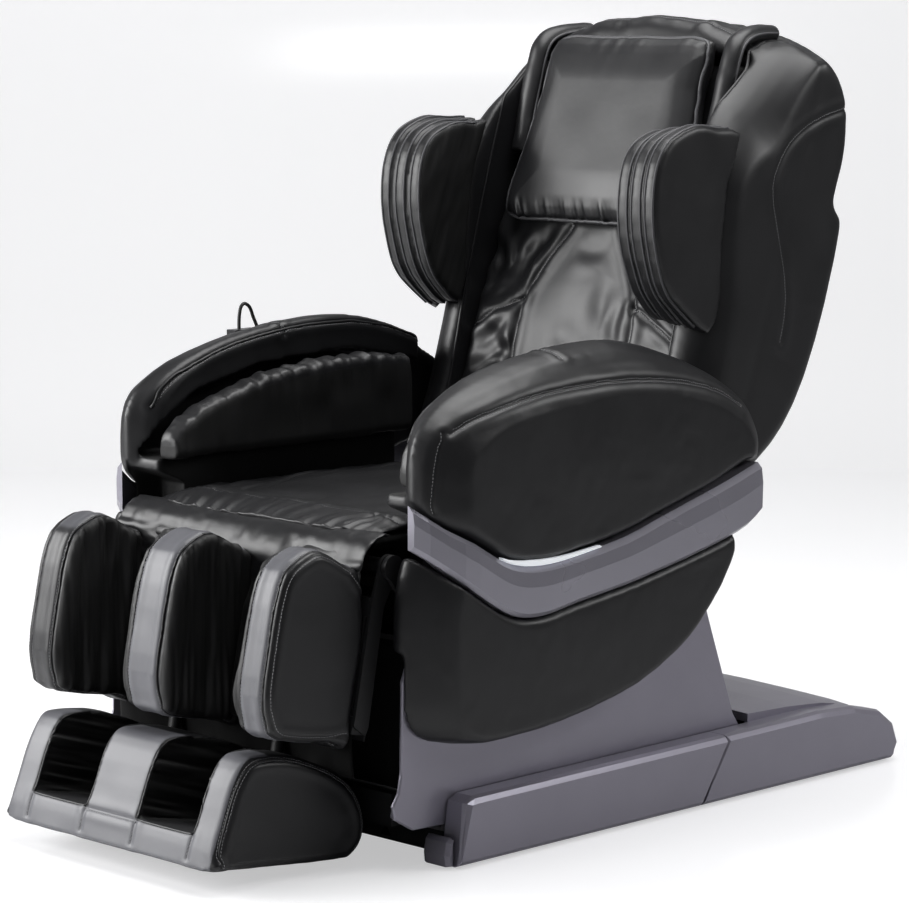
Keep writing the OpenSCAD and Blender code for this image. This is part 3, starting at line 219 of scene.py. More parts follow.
def with_modifiers(piece, *steps):
    """Applies modifiers, each a type and its settings, to the piece's mesh."""
    for kind, settings in steps:
        mod = piece.modifiers.new(kind, kind)
        for key, value in settings.items():
            setattr(mod, key, value)
    bpy.context.view_layer.update()
    graph = bpy.context.evaluated_depsgraph_get()
    mesh = bpy.data.meshes.new_from_object(piece.evaluated_get(graph))
    piece.modifiers.clear()
    old = piece.data
    piece.data = mesh
    bpy.data.meshes.remove(old)
    for poly in piece.data.polygons:
        poly.use_smooth = True
    return piece


def soft_copy(name, *nodes, voxel=0.005, smooth=6, side=0, close=0.0):
    """A smooth, evenly meshed copy of CAD solids, joined over gaps of twice close."""
    joined = bmesh.new()
    for node in nodes:
        joined.from_mesh(NODES[node].data)
    if side:
        bmesh.ops.delete(joined, geom=[v for v in joined.verts if v.co.x * side < 0], context="VERTS")
    mesh = bpy.data.meshes.new(name)
    joined.to_mesh(mesh)
    joined.free()
    piece = add_object(name, mesh)
    with_modifiers(
        piece,
        ("DISPLACE", dict(strength=close, mid_level=0)),
        ("REMESH", dict(mode="VOXEL", voxel_size=voxel)),
        ("SMOOTH", dict(factor=0.5, iterations=smooth)),
        ("SUBSURF", dict(levels=1)))
    push(piece, np.full(len(piece.data.vertices), -close))
    return piece


def tree_of(piece):
    graph_free = bmesh.new()
    graph_free.from_mesh(piece.data)
    tree = BVHTree.FromBMesh(graph_free)
    graph_free.free()
    return tree


def lay_on(tree, line, lift=0.0):
    """Points brought to the nearest surface, and the surface's normals."""
    points, normals = [], []
    for p in line:
        hit, normal, _, _ = tree.find_nearest(Vector(p))
        points.append(np.array(hit) + lift * np.array(normal))
        normals.append(np.array(normal))
    return np.array(points), np.array(normals)


def tube(line, radius, closed=False, sides=8, normals=None, flat=1.0):
    """Vertices and faces of a round cord along a line."""
    line = np.asarray(line)
    m = len(line)
    ahead = np.roll(line, -1, 0) - np.roll(line, 1, 0)
    if not closed:
        ahead[0], ahead[-1] = line[1] - line[0], line[-1] - line[-2]
    ahead /= np.linalg.norm(ahead, axis=1)[:, None] + 1e-12
    if normals is None:
        normals = np.tile([0.0, 0.0, 1.0], (m, 1))
    side = np.cross(ahead, normals)
    side /= np.linalg.norm(side, axis=1)[:, None] + 1e-12
    up = np.cross(side, ahead)
    radius = np.broadcast_to(radius, m)
    verts = []
    for i in range(m):
        for k in range(sides):
            a = 2 * math.pi * k / sides
            verts.append(line[i] + radius[i] * (math.cos(a) * side[i] + flat * math.sin(a) * up[i]))
    faces = []
    for i in range(m if closed else m - 1):
        j = (i + 1) % m
        for k in range(sides):
            q = (k + 1) % sides
            faces.append((i * sides + k, i * sides + q, j * sides + q, j * sides + k))
    if not closed:
        faces.append(tuple(reversed(range(sides))))
        faces.append(tuple((m - 1) * sides + k for k in range(sides)))
    return verts, faces


class Bundle:
    """Gathers small shapes that end up as one piece."""

    def __init__(self):
        self.verts, self.faces = [], []

    def add(self, verts, faces):
        base = len(self.verts)
        self.verts.extend(verts)
        self.faces.extend(tuple(base + i for i in f) for f in faces)

    def piece(self, name):
        out = add_object(name, mesh_of(name, self.verts, self.faces))
        for poly in out.data.polygons:
            poly.use_smooth = True
        return out


STITCH_RINGS = [(-1.0, 0.35), (-0.72, 0.85), (0.0, 1.0), (0.72, 0.85), (1.0, 0.35)]


def add_stitches(bundle, tree, line, pitch=0.0052, long=0.0019, radius=0.00062, closed=False):
    """A row of single stitches, each a small pill lying on the surface."""
    line = even_line(line, pitch, closed)
    points, normals = lay_on(tree, line, 0.0001)
    m = len(points)
    ahead = np.roll(points, -1, 0) - np.roll(points, 1, 0)
    if not closed:
        ahead[0], ahead[-1] = points[1] - points[0], points[-1] - points[-2]
    ahead /= np.linalg.norm(ahead, axis=1)[:, None] + 1e-9
    side = np.cross(ahead, normals)
    verts = np.stack([
        points + ahead * s * long + radius * r * (math.cos(w) * side + math.sin(w) * normals)
        for s, r in STITCH_RINGS for w in np.arange(5) * 0.4 * math.pi], 1).reshape(-1, 3)
    one = [(j * 5 + k, j * 5 + (k + 1) % 5, j * 5 + 5 + (k + 1) % 5, j * 5 + 5 + k) for j in range(4) for k in range(5)]
    bundle.add(verts, (np.array(one)[None] + 25 * np.arange(m)[:, None, None]).reshape(-1, 4).tolist())


def beside(tree, line, offset, closed=False):
    """The line moved sideways along the surface."""
    points, normals = lay_on(tree, line)
    ahead = np.roll(points, -1, 0) - np.roll(points, 1, 0)
    if not closed:
        ahead[0], ahead[-1] = points[1] - points[0], points[-1] - points[-2]
    side = np.cross(ahead, normals)
    side /= np.linalg.norm(side, axis=1)[:, None] + 1e-12
    return points + offset * side


def seam(piece, line, depth=0.0016, width=0.0035, swell=0.0008, closed=False, ends=0.0):
    """Presses a sewn seam into the piece along the line."""
    r, at = distance_to(points_of(piece), line, closed)
    fade = 1.0 if closed or not ends else ease(at / ends) * ease((1 - at) / ends)
    groove = -depth * np.exp(-(r / width) ** 2)
    puff = swell * np.exp(-((r - 3.2 * width) / (2.2 * width)) ** 2)
    push(piece, (groove + puff) * fade)


def sewn(piece, thread, line, rows=(-0.0032, 0.0032), closed=False, **shape):
    """A seam with its rows of stitching; the line is put on the piece first."""
    tree = tree_of(piece)
    line = even_line(line, 0.006, closed)
    on, _ = lay_on(tree, line)
    seam(piece, on, closed=closed, **shape)
    tree = tree_of(piece)
    for row in rows:
        add_stitches(thread, tree, beside(tree, on, row, closed), closed=closed)
    return on


def piped(bundle, piece, line, radius=0.0026, closed=True, lift=0.0006):
    """Lays a piping cord into the piece's surface along the line."""
    tree = tree_of(piece)
    points, normals = lay_on(tree, even_line(line, 0.006, closed), lift)
    for _ in range(4):
        mean = (np.roll(points, 1, 0) + 2 * points + np.roll(points, -1, 0)) / 4
        points = mean if closed else np.concatenate([points[:1], mean[1:-1], points[-1:]])
    bundle.add(*tube(points, radius, closed, 8, normals))


def crease(piece, line, width=0.006, depth=0.003, ridge=0.5, ends=0.25):
    """A fold of the cover along a line, a valley with a soft ridge beside it."""
    r, at = distance_to(points_of(piece), line, reach=5 * width)
    fade = ease(at / ends) * ease((1 - at) / ends)
    push(piece, fade * depth * (ridge * np.exp(-((r - 2 * width) / width) ** 2) - np.exp(-(r / width) ** 2)))


def mark(piece, name, values):
    """Stores one number per point, for a material to read."""
    attribute = piece.data.attributes.new(name, "FLOAT", "POINT")
    attribute.data.foreach_set("value", np.asarray(values, np.float32))


# ---- Shader values --------------------------------------------------------------


class Value:
    """A socket that takes part in Python arithmetic by adding Math nodes."""

    def __init__(self, maker, socket):
        self.maker, self.socket = maker, socket

    def _math(self, operation, *others):
        return self.maker.node("ShaderNodeMath", {"operation": operation}, *others)

    def __add__(self, other):
        return self._math("ADD", self, other)

    __radd__ = __add__

    def __mul__(self, other):
        return self._math("MULTIPLY", self, other)

    __rmul__ = __mul__

    def __sub__(self, other):
        return self._math("SUBTRACT", self, other)

    def __rsub__(self, other):
        return self._math("SUBTRACT", other, self)

    def __pow__(self, other):
        return self._math("POWER", self, other)

    def above(self, edge, soft):
        """0 below the edge and 1 above it, over a soft width."""
        return self.maker.node("ShaderNodeMapRange", {"interpolation_type": "SMOOTHSTEP"},
                               self, edge - soft, edge + soft)


class Finish:
    """One material, built from a principled shader and a few more nodes."""

    def __init__(self, name, color, roughness, **constants):
        self.material = bpy.data.materials.new(name)
        self.material.use_nodes = True
        self.tree = self.material.node_tree
        self.shader = self.tree.nodes["Principled BSDF"]
        self.color = color
        self.set("Base Color", color)
        self.set("Roughness", roughness)
        for key, value in constants.items():
            self.set(key.replace("_", " "), value)

    def set(self, name, value):
        socket = self.shader.inputs[name]
        if isinstance(value, Value):
            self.tree.links.new(value.socket, socket)
        elif socket.type == "RGBA":
            socket.default_value = (*value, 1)
        else:
            socket.default_value = value

    def node(self, kind, settings, *values, output=0, **named):
        """Adds a node: its settings first, then values or links for its sockets."""
        node = self.tree.nodes.new(kind)
        for key, value in settings.items():
            if key == "stops":
                for stop, (at, color) in zip(node.color_ramp.elements, value):
                    stop.position, stop.color = at, (*color, 1)
            else:
                setattr(node, key, value)
        pairs = list(enumerate(values)) + [(k.replace("_", " "), v) for k, v in named.items()]
        for key, value in pairs:
            if isinstance(value, Value):
                self.tree.links.new(value.socket, node.inputs[key])
            elif value is not None:
                socket = node.inputs[key]
                socket.default_value = (*value, 1) if socket.type == "RGBA" else value
        return Value(self, node.outputs[output])

    def place(self, scale=(1, 1, 1)):
        where = self.node("ShaderNodeTexCoord", {}, output=3)
        return self.node("ShaderNodeMapping", {}, where, Scale=scale)

    def noise(self, size, detail=2.0, scale=(1, 1, 1), rough=0.5):
        """Noise from 0 to 1 with cells of about the given size in metres."""
        return self.node("ShaderNodeTexNoise", {}, Vector=self.place(scale), Scale=1 / size, Detail=detail,
                         Roughness=rough)

    def cells(self, size, feature="F1", output=0, scale=(1, 1, 1)):
        return self.node("ShaderNodeTexVoronoi", {"feature": feature}, Vector=self.place(scale), Scale=1 / size,
                         output=output)

    def attribute(self, name):
        return self.node("ShaderNodeAttribute", {"attribute_name": name}, output=2)

    def mix(self, factor, a, b):
        """A colour between two."""
        node = self.tree.nodes.new("ShaderNodeMix")
        node.data_type = "RGBA"
        for index, value in ((0, factor), (6, a), (7, b)):
            if isinstance(value, Value):
                self.tree.links.new(value.socket, node.inputs[index])
            else:
                node.inputs[index].default_value = (*value, 1) if index else value
        return Value(self, node.outputs[2])

    def bump(self, height, strength, distance=0.001, under=None):
        return self.node("ShaderNodeBump", {}, Strength=strength, Distance=distance, Height=height, Normal=under)

    def dress(self, *pieces):
        for piece in pieces:
            piece = NODES[piece] if isinstance(piece, str) else piece
            if piece.data.materials:
                for index in range(len(piece.data.materials)):
                    piece.data.materials[index] = self.material
            else:
                piece.data.materials.append(self.material)
        return self


# ---- Finishes --------------------------------------------------------------------


def leather(name, color, light, grey, cloth_color, roughness=0.42):
    """Coated leathercloth, which turns grey on a band and to dull cloth where marked."""
    f = Finish(name, color, roughness, Specular_IOR_Level=0.5)
    band = f.attribute("band").above(0.5, 0.3)
    cloth = f.attribute("cloth").above(0.5, 0.3)
    pores = f.cells(0.0011, "DISTANCE_TO_EDGE")
    broad = f.noise(0.09, 3)
    cover = f.mix(band, f.mix(broad, color, light), f.mix(broad, grey, tuple(1.25 * c for c in grey)))
    f.set("Base Color", f.mix(cloth, cover, cloth_color))
    f.set("Roughness", roughness - 0.06 + broad * 0.12 + cloth * 0.22)
    grain = f.bump(pores * (1 - cloth), 0.10, 0.0002)
    f.set("Normal", f.bump(f.noise(0.010, 4) + cloth * f.noise(0.0016, 3), 0.12, 0.0010, grain))
    return f


def velour(name, color, light):
    """Soft brushed cloth of the air cells."""
    f = Finish(name, color, 0.85, Sheen_Weight=0.04, Sheen_Roughness=0.45, Specular_IOR_Level=0.15)
    nap = f.noise(0.0016, 3)
    f.set("Base Color", f.mix(nap, color, light))
    f.set("Normal", f.bump(nap, 0.3, 0.0006))
    return f


def moulded(name, color, roughness, grain=0.0012, strength=0.08, metallic=0.0, coat=0.0, shade=0.9):
    """Painted or grained plastic with slight unevenness."""
    f = Finish(name, color, roughness, Metallic=metallic)
    f.shader.inputs["Coat Weight"].default_value = coat
    f.shader.inputs["Coat Roughness"].default_value = 0.25
    cloud = f.noise(0.11, 2)
    speck = f.noise(grain, 2)
    f.set("Base Color", f.mix(cloud, color, tuple(c * shade for c in color)))
    f.set("Roughness", roughness - 0.03 + cloud * 0.06)
    f.set("Normal", f.bump(speck, strength, 0.0003))
    return f


def metal(name, color, roughness, along=(1, 1, 1), metallic=1.0):
    """Plated or painted metal with a drawn grain."""
    f = Finish(name, color, roughness, Metallic=metallic)
    grain = f.noise(0.004, 3, along)
    f.set("Base Color", f.mix(f.noise(0.06, 3), color, tuple(c * 0.78 for c in color)))
    f.set("Roughness", roughness - 0.06 + grain * 0.14)
    f.set("Normal", f.bump(grain, 0.06, 0.0004))
    return f


def stained_wood(name):
    f = Finish(name, (0.03, 0.026, 0.022), 0.62)
    rings = f.noise(0.012, 4, (1, 0.06, 3))
    f.set("Base Color", f.mix(rings, (0.034, 0.028, 0.023), (0.018, 0.015, 0.013)))
    f.set("Normal", f.bump(rings, 0.2, 0.0005))
    return f


BLACK = (0.0068, 0.0069, 0.0078)
GREY = (0.100, 0.101, 0.112)
NAP = (0.0030, 0.0030, 0.0032)
black_leather = leather("black_leather", BLACK, (0.0125, 0.0125, 0.014), GREY, NAP)
edge_leather = leather("edge_leather", (0.055, 0.055, 0.060), (0.07, 0.07, 0.075), GREY, NAP, 0.5)
black_velour = velour("black_velour", NAP, (0.003, 0.003, 0.003))
silver_paint = moulded("silver_paint", (0.345, 0.330, 0.395), 0.34, metallic=0.5, coat=0.25)
trim_paint = moulded("trim_paint", (0.360, 0.350, 0.405), 0.28, metallic=0.5, coat=0.35)
dark_plastic = moulded("dark_plastic", (0.011, 0.011, 0.012), 0.52, grain=0.0009, strength=0.2)
nylon = moulded("nylon", (0.55, 0.53, 0.49), 0.5)
steel_paint = metal("steel_paint", (0.012, 0.012, 0.013), 0.45, metallic=0.0)
zinc = metal("zinc", (0.55, 0.55, 0.58), 0.32, (1, 0.05, 1))
ground_steel = metal("ground_steel", (0.62, 0.62, 0.64), 0.22, (1, 0.05, 1))
drive_paint = metal("drive_paint", (0.07, 0.07, 0.075), 0.5, metallic=0.0)
pressed_metal = metal("pressed_metal", (0.55, 0.55, 0.57), 0.38)
wheel_rubber = moulded("wheel_rubber", (0.018, 0.018, 0.018), 0.7, strength=0.3)
board_paint = stained_wood("board_paint")
remote_gloss = moulded("remote_gloss", (0.014, 0.014, 0.016), 0.22, strength=0.02, coat=0.3)
cord_sheath = moulded("cord_sheath", (0.016, 0.016, 0.016), 0.5, strength=0.1)
key_paint = moulded("key_paint", (0.35, 0.03, 0.025), 0.35, strength=0.05)
thread_grey = moulded("thread_grey", (0.26, 0.26, 0.27), 0.7, grain=0.0006, strength=0.4)
light_clear = Finish("light_clear", (0.9, 0.92, 0.95), 0.25, Emission_Strength=0.35)
light_clear.set("Emission Color", light_clear.mix(light_clear.noise(0.02), (0.85, 0.92, 1.0), (0.95, 0.97, 1.0)))

# ---- Rigid parts that keep their CAD shape ----------------------------------------

for finish, names in (
        (steel_paint, "base_frame carriage_frame seat_frame back_frame leg_frame roller_arms foot_slides"),
        (zinc, "tracks"),
        (silver_paint, "rail_cover_left rail_cover_right rear_cover skirt_left skirt_right"),
        (trim_paint, "trim_left trim_right"),
        (dark_plastic, "feet control_box remote_holder leg_cover"),
        (wheel_rubber, "transport_wheels rollers_upper rollers_lower"),
        (nylon, "front_rollers rear_rollers"),
        (drive_paint, "slide_actuator tilt_actuator recline_actuator leg_actuator"),
        (ground_steel, "slide_rod tilt_rod recline_rod leg_rod"),
        (pressed_metal, "head_carriage"),
        (board_paint, "seat_board"),
        (light_clear, "light_strips"),
        (remote_gloss, "remote_case"),
        (key_paint, "key_power")):
    finish.dress(*names.split())

# ---- Cord of the remote ------------------------------------------------------------

CORD = [(-406, 262, 738.4), (-406, 262, 750), (-406, 263, 762), (-406, 266, 774), (-406, 272, 780), (-406, 279, 779),
        (-406, 287, 772), (-406, 294, 756), (-404, 301, 738), (-403, 304, 715), (-403, 305, 690), (-403, 305, 660),
        (-403, 305, 590)]


def remote_lead():
    route = smooth_line([on_seat(*p) for p in CORD], 4)
    curve = bpy.data.curves.new("remote_lead", "CURVE")
    curve.dimensions = "3D"
    curve.bevel_depth = 0.003
    curve.bevel_resolution = 4
    curve.use_fill_caps = True
    spline = curve.splines.new("POLY")
    spline.points.add(len(route) - 1)
    for point, at in zip(spline.points, route):
        point.co = (*at, 1)
    lead = add_object("remote_lead", curve)
    lead.data.materials.append(cord_sheath.material)
    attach(lead, "remote")
    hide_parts("remote_cord")


remote_lead()

# ---- Finishing a soft piece -------------------------------------------------------


def seat_on(piece, body, node, finish):
    """Dresses a padded piece, puts it on its body and in its node's place."""
    finish.dress(piece)
    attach(piece, body)
    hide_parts(*([node] if isinstance(node, str) else node))


def sew_up(bundle, name, body, finish=thread_grey):
    """Turns gathered stitches or piping into one piece on a body."""
    if bundle.verts:
        piece = bundle.piece(name)
        finish.dress(piece)
        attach(piece, body)


# ---- Arms --------------------------------------------------------------------------

ARM_SEAM = [(-18, 672), (10, 681), (80, 694), (140, 702), (213, 708), (315, 711),
            (420, 706), (521, 695), (602, 676), (650, 655)]
ARM_RIDGE = [(-30, 645), (-8, 668), (20, 688), (60, 704), (126, 726), (205, 741), (305, 751), (409, 751),
             (479, 744), (540, 730), (600, 706)]
ARM_NOSE = [(-24, 668), (-34, 640), (-43, 600), (-48, 560), (-50, 535)]


def arm_pad(side, sign):
    """Upper arm with its inner lining, in one cover."""
    arm = soft_copy(f"arm_{side}", f"arm_pad_{side}", "arm_cores", voxel=0.005, smooth=10, side=sign)
    co = points_of(arm)
    across = co[:, 0] * sign
    outward = ease((across - 0.30) / 0.09)
    crown = 0.004 * np.exp(-((co[:, 2] - 0.60) / 0.09) ** 2 - ((co[:, 1] + 0.2) / 0.25) ** 2)
    front = ease((0.335 - across) / 0.02) * ease((0.545 - co[:, 2]) / 0.03)
    co[:, 1] += front * np.maximum(0, -0.500 - co[:, 1]) * 0.85
    set_points(arm, co)
    push(arm, crown * outward + 0.0007 * ripple(co, 0.06, 1) + 0.0003 * ripple(co, 0.02, 2))
    lining = ease((0.335 - across) / 0.01) * ease((0.60 - co[:, 2]) / 0.02) * ease((co[:, 1] + 0.566) / 0.012)
    mark(arm, "cloth", lining)
    thread, cords = Bundle(), Bundle()
    line = smooth_line([on_seat(sign * 391, y, z) for y, z in ARM_SEAM])
    sewn(arm, thread, line, depth=0.0022, width=0.004, swell=0.0014)
    over = smooth_line([on_seat(sign * x, y, z) for x, y, z in (
        (352, 251, 757), (338, 252, 764), (318, 253, 766), (300, 254, 762), (288, 255, 750), (285, 256, 738))])
    sewn(arm, thread, over, depth=0.0018, swell=0.0012)
    ridge = smooth_line([on_seat(sign * 286, y, z) for y, z in ARM_RIDGE])
    sewn(arm, thread, ridge, rows=(0.0046,), depth=0.0024)
    piped(cords, arm, ridge, radius=0.0026, closed=False)
    nose = smooth_line([on_seat(sign * 378, y, z) for y, z in ARM_NOSE])
    sewn(arm, thread, nose, rows=(0.003,), depth=0.0016)
    for k, (y, z) in enumerate(((-34, 640), (-40, 618), (-44, 596), (-46, 575))):
        pleat = smooth_line([on_seat(sign * x, y + dy, z + dz) for x, dy, dz in (
            (377, 0, 0), (386, 14, 3 + k), (391, 32, 5 + 2 * k))])
        crease(arm, pleat, width=0.003, depth=0.0014, ends=0.5)
    seat_on(arm, "seat", (f"arm_pad_{side}", "arm_cores"), black_leather)
    sew_up(thread, f"arm_stitching_{side}", "seat")
    sew_up(cords, f"arm_piping_{side}", "seat", black_leather)


def side_panel(side, sign):
    panel = soft_copy(f"side_panel_cover_{side}", f"side_panel_{side}", voxel=0.005, smooth=8)
    co = points_of(panel)
    out = ease((co[:, 0] * sign - 0.36) / 0.03)
    crown = 0.004 * np.exp(-((co[:, 2] - 0.31) / 0.09) ** 2 - ((co[:, 1] + 0.30) / 0.25) ** 2)
    push(panel, crown * out + 0.0006 * ripple(co, 0.07, 3) + 0.0003 * ripple(co, 0.022, 4))
    for x, lean in ((372, 3), (381, -4), (388, -12)):
        tuck = smooth_line([on_seat(sign * x, -58 + lean, 462), on_seat(sign * (x + 1), -66 + lean, 440),
                            on_seat(sign * (x + 2), -74 + lean, 418)])
        crease(panel, tuck, width=0.0035, depth=0.0018, ends=0.6)
    seat_on(panel, "seat", f"side_panel_{side}", black_leather)


def arm_flap(side, sign):
    """Gathered flap that holds the forearm's air cells."""
    flap = soft_copy(f"arm_flap_{side}", "arm_airbags", voxel=0.004, smooth=6, side=sign)
    co = points_of(flap)
    rim = np.interp(co[:, 1], [-0.575, -0.55, -0.50, -0.40, -0.30, -0.20, -0.10, -0.03],
                    [0.60, 0.625, 0.655, 0.678, 0.690, 0.697, 0.699, 0.696])
    near = ease(1 - (rim - co[:, 2]) / 0.05)
    co[:, 1] += np.maximum(0, -0.470 - co[:, 1]) * (0.7 if sign > 0 else 0.2)
    set_points(flap, co)
    gather = ripple(np.stack([co[:, 1], co[:, 2] * 0.22, co[:, 0] * 0.2], 1), 0.013, 5)
    push(flap, gather * (0.0009 + 0.0024 * near) + 0.002 * ripple(co, 0.05, 6))
    co = points_of(flap)
    scallop = 0.0018 * np.sin(co[:, 1] * 2 * math.pi / 0.036 + 2.6 * ripple(co, 0.09, 7))
    scallop += 0.0012 * ripple(co, 0.016, 8)
    set_points(flap, co + np.outer(scallop * near, [0, 0, 1]))
    co = points_of(flap)
    mark(flap, "cloth", ease((rim - 0.016 - co[:, 2]) / 0.006))
    seat_on(flap, "seat", "arm_airbags", black_leather)


for side, sign in SIDES:
    arm_pad(side, sign)
    side_panel(side, sign)
    arm_flap(side, sign)

# ---- Seat ------------------------------------------------------------------------


def seat_foam():
    foam = soft_copy("seat_foam", "seat_cushion", voxel=0.006, smooth=4)
    co = points_of(foam)
    push(foam, 0.0012 * ripple(co, 0.05, 20))
    seat_on(foam, "seat", "seat_cushion", black_velour)


def seat_topper():
    """Loose padded sheet on the seat, drawn in towards its front corners."""
    pad = soft_copy("seat_pad", "seat_topper", voxel=0.004, smooth=3)
    co = points_of(pad)
    x, y = co[:, 0], co[:, 1] + 0.582
    up = ease((normals_of(pad)[:, 2] - 0.1) / 0.5)
    edge = ease(1 - np.minimum(0.254 - np.abs(x), y) / 0.11)
    fan = np.stack([x * (1 + 0.5 * edge) + 0.55 * y, y - 0.3 * x, co[:, 2]], 1)
    folds = ripple(fan, (0.026, 0.11, 0.2), 8) + 0.35 * ripple(fan, (0.013, 0.06, 0.2), 9)
    swell = 0.009 * np.sin(np.clip(y / 0.12, 0, 1) * math.pi) * ease((0.254 - np.abs(x)) / 0.05)
    lip = ease(1 - y / 0.06) * ease((0.262 - np.abs(x)) / 0.09)
    set_points(pad, co + np.outer(lip, [0, -0.026, 0.002]))
    push(pad, up * (folds * 0.0026 * (0.25 + edge) + swell + 0.003 * ripple(co, 0.07, 10)))
    thread = Bundle()
    hem = smooth_line([on_seat(x, 10, 512) for x in (-245, -160, -60, 60, 160, 245)])
    sewn(pad, thread, hem, rows=(0.003,), depth=0.0022)
    corner = smooth_line([on_seat(196, y, 512) for y in (-56, -30, 0, 10)])
    sewn(pad, thread, corner, rows=(0.003,), depth=0.0018)
    seat_on(pad, "seat", "seat_topper", black_leather)
    sew_up(thread, "seat_pad_stitching", "seat")


APRON = [(-46, 506), (-60, 508), (-76, 503), (-90, 492), (-101, 474), (-107, 452), (-110, 428), (-112, 404)]


def knee_apron():
    """Soft cover that hangs from the seat over the knee hinge to the calf rest."""
    profile = smooth_line([(0, (y - 525) * MM, (z - 10) * MM) for y, z in APRON], 6)
    n, m = len(profile), 95
    verts = []
    for lift in (0.0, -0.006):
        for i in range(m):
            x = -0.284 + 0.568 * i / (m - 1)
            for j, (_, y, z) in enumerate(profile):
                ahead = profile[min(j + 1, n - 1)] - profile[max(j - 1, 0)]
                out = np.array([0, ahead[2], -ahead[1]]) / np.linalg.norm(ahead)
                verts.append(np.array([x, y, z]) + lift * -out)
    faces = []
    half = m * n
    for i in range(m - 1):
        for j in range(n - 1):
            a = i * n + j
            faces.append((a, a + n, a + n + 1, a + 1))
            faces.append((half + a, half + a + 1, half + a + n + 1, half + a + n))
    for i in range(m - 1):
        for j in (0, n - 1):
            a = i * n + j
            quad = (a, half + a, half + a + n, a + n)
            faces.append(quad if j else tuple(reversed(quad)))
    for j in range(n - 1):
        for i in (0, m - 1):
            a = i * n + j
            quad = (a, a + 1, half + a + 1, half + a)
            faces.append(quad if i else tuple(reversed(quad)))
    apron = add_object("knee_apron", mesh_of("knee_apron", verts, faces))
    with_modifiers(apron, ("REMESH", dict(mode="VOXEL", voxel_size=0.004)), ("SMOOTH", dict(factor=0.5, iterations=4)),
                   ("SUBSURF", dict(levels=1)))
    co = points_of(apron)
    along = (0.50 - co[:, 2]) / 0.10
    sway = co[:, 2] + 0.05 * np.sin(co[:, 0] * 9 + 1) * ease(along)
    folds = ripple(np.stack([co[:, 0], sway, sway], 1), (0.11, 0.020, 0.5), 11)
    hang = ripple(np.stack([co[:, 0], co[:, 2] * 0.3, co[:, 2] * 0], 1), (0.045, 0.06, 1), 12)
    push(apron, ease(along * 3) * (0.0055 * folds + 0.008 * hang * ease(along)) + 0.001 * ripple(co, 0.02, 13))
    black_leather.dress(apron)
    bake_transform(apron)
    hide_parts("knee_cover")


seat_foam()
seat_topper()
knee_apron()

# ---- Back ------------------------------------------------------------------------


BACK_SHAPES = ("back_shell", "bolster_left", "bolster_right", "top_bolster")


def back_cover():
    """Shell, side bolsters and top roll under one leather cover."""
    cover = soft_copy("back_cover", *BACK_SHAPES, voxel=0.006, smooth=10,
                      close=0.003)
    co = points_of(cover)
    x, t, s = back_places(co)
    top = ease((s - 830) / 40) * ease((150 - np.abs(t)) / 60)
    push(cover, 0.0006 * ripple(co, 0.08, 14) + top * 0.0022 * ripple(co, (0.022, 0.06, 0.06), 15))
    thread, cords = Bundle(), Bundle()
    for _, sign in SIDES:
        pocket = smooth_line([on_back(sign * 327, t, s) for t, s in (
            (232, 792), (201, 780), (132, 736), (82, 682), (64, 622), (72, 585), (97, 546), (130, 498), (155, 452),
            (168, 410), (172, 370))])
        sewn(cover, thread, pocket, rows=(0.0036,), depth=0.0016, width=0.004)
        edge = smooth_line([on_back(sign * 244, t, s) for t, s in (
            (52, 880), (38, 862), (8, 822), (-14, 780), (-24, 730), (-26, 680), (-24, 600), (-16, 480), (-6, 380),
            (4, 300), (12, 200), (18, 120))])
        piped(cords, cover, edge, radius=0.003, closed=False, lift=-0.0004)
        fold = smooth_line([on_back(sign * (244 + 44 * k), 36 - 8 * k, 872 - 24 * k) for k in np.linspace(0, 1.6, 5)])
        crease(cover, fold, width=0.007, depth=0.004)
    arch = ((-228, 836), (-150, 868), (-60, 880), (60, 880), (150, 868), (228, 836))
    loop = smooth_line([on_back(x, 44, s) for x, s in arch])
    sewn(cover, thread, loop, rows=(0.0034,), depth=0.0014)
    seat_on(cover, "back", BACK_SHAPES, black_leather)
    sew_up(thread, "back_stitching", "back")
    sew_up(cords, "back_piping", "back", black_leather)


PANEL_EDGE = [(58, 505), (72, 480), (96, 440), (120, 395), (130, 350), (130, 300), (124, 230), (118, 140), (116, 60)]
PANEL_SEAM = [(128, 372), (160, 358), (205, 334), (232, 318)]
PANEL_FOLDS = [
    [(-148, 505), (-172, 470), (-180, 430), (-205, 400), (-228, 395)],
    [(-120, 480), (-150, 450), (-158, 420), (-190, 385)],
    [(-100, 510), (-112, 480), (-140, 440), (-140, 400)],
    [(-228, 470), (-206, 440), (-212, 410), (-226, 380)],
    [(-135, 330), (-165, 318), (-200, 290), (-230, 270)],
    [(-132, 290), (-160, 282), (-195, 250), (-228, 230)],
    [(-128, 250), (-170, 236), (-215, 196)],
    [(-40, 468), (0, 462), (44, 470)],
    [(60, 420), (48, 380), (64, 330)],
    [(96, 380), (88, 340), (98, 300)],
    [(150, 400), (158, 360), (176, 330)],
    [(-60, 300), (-20, 285), (30, 290)],
]


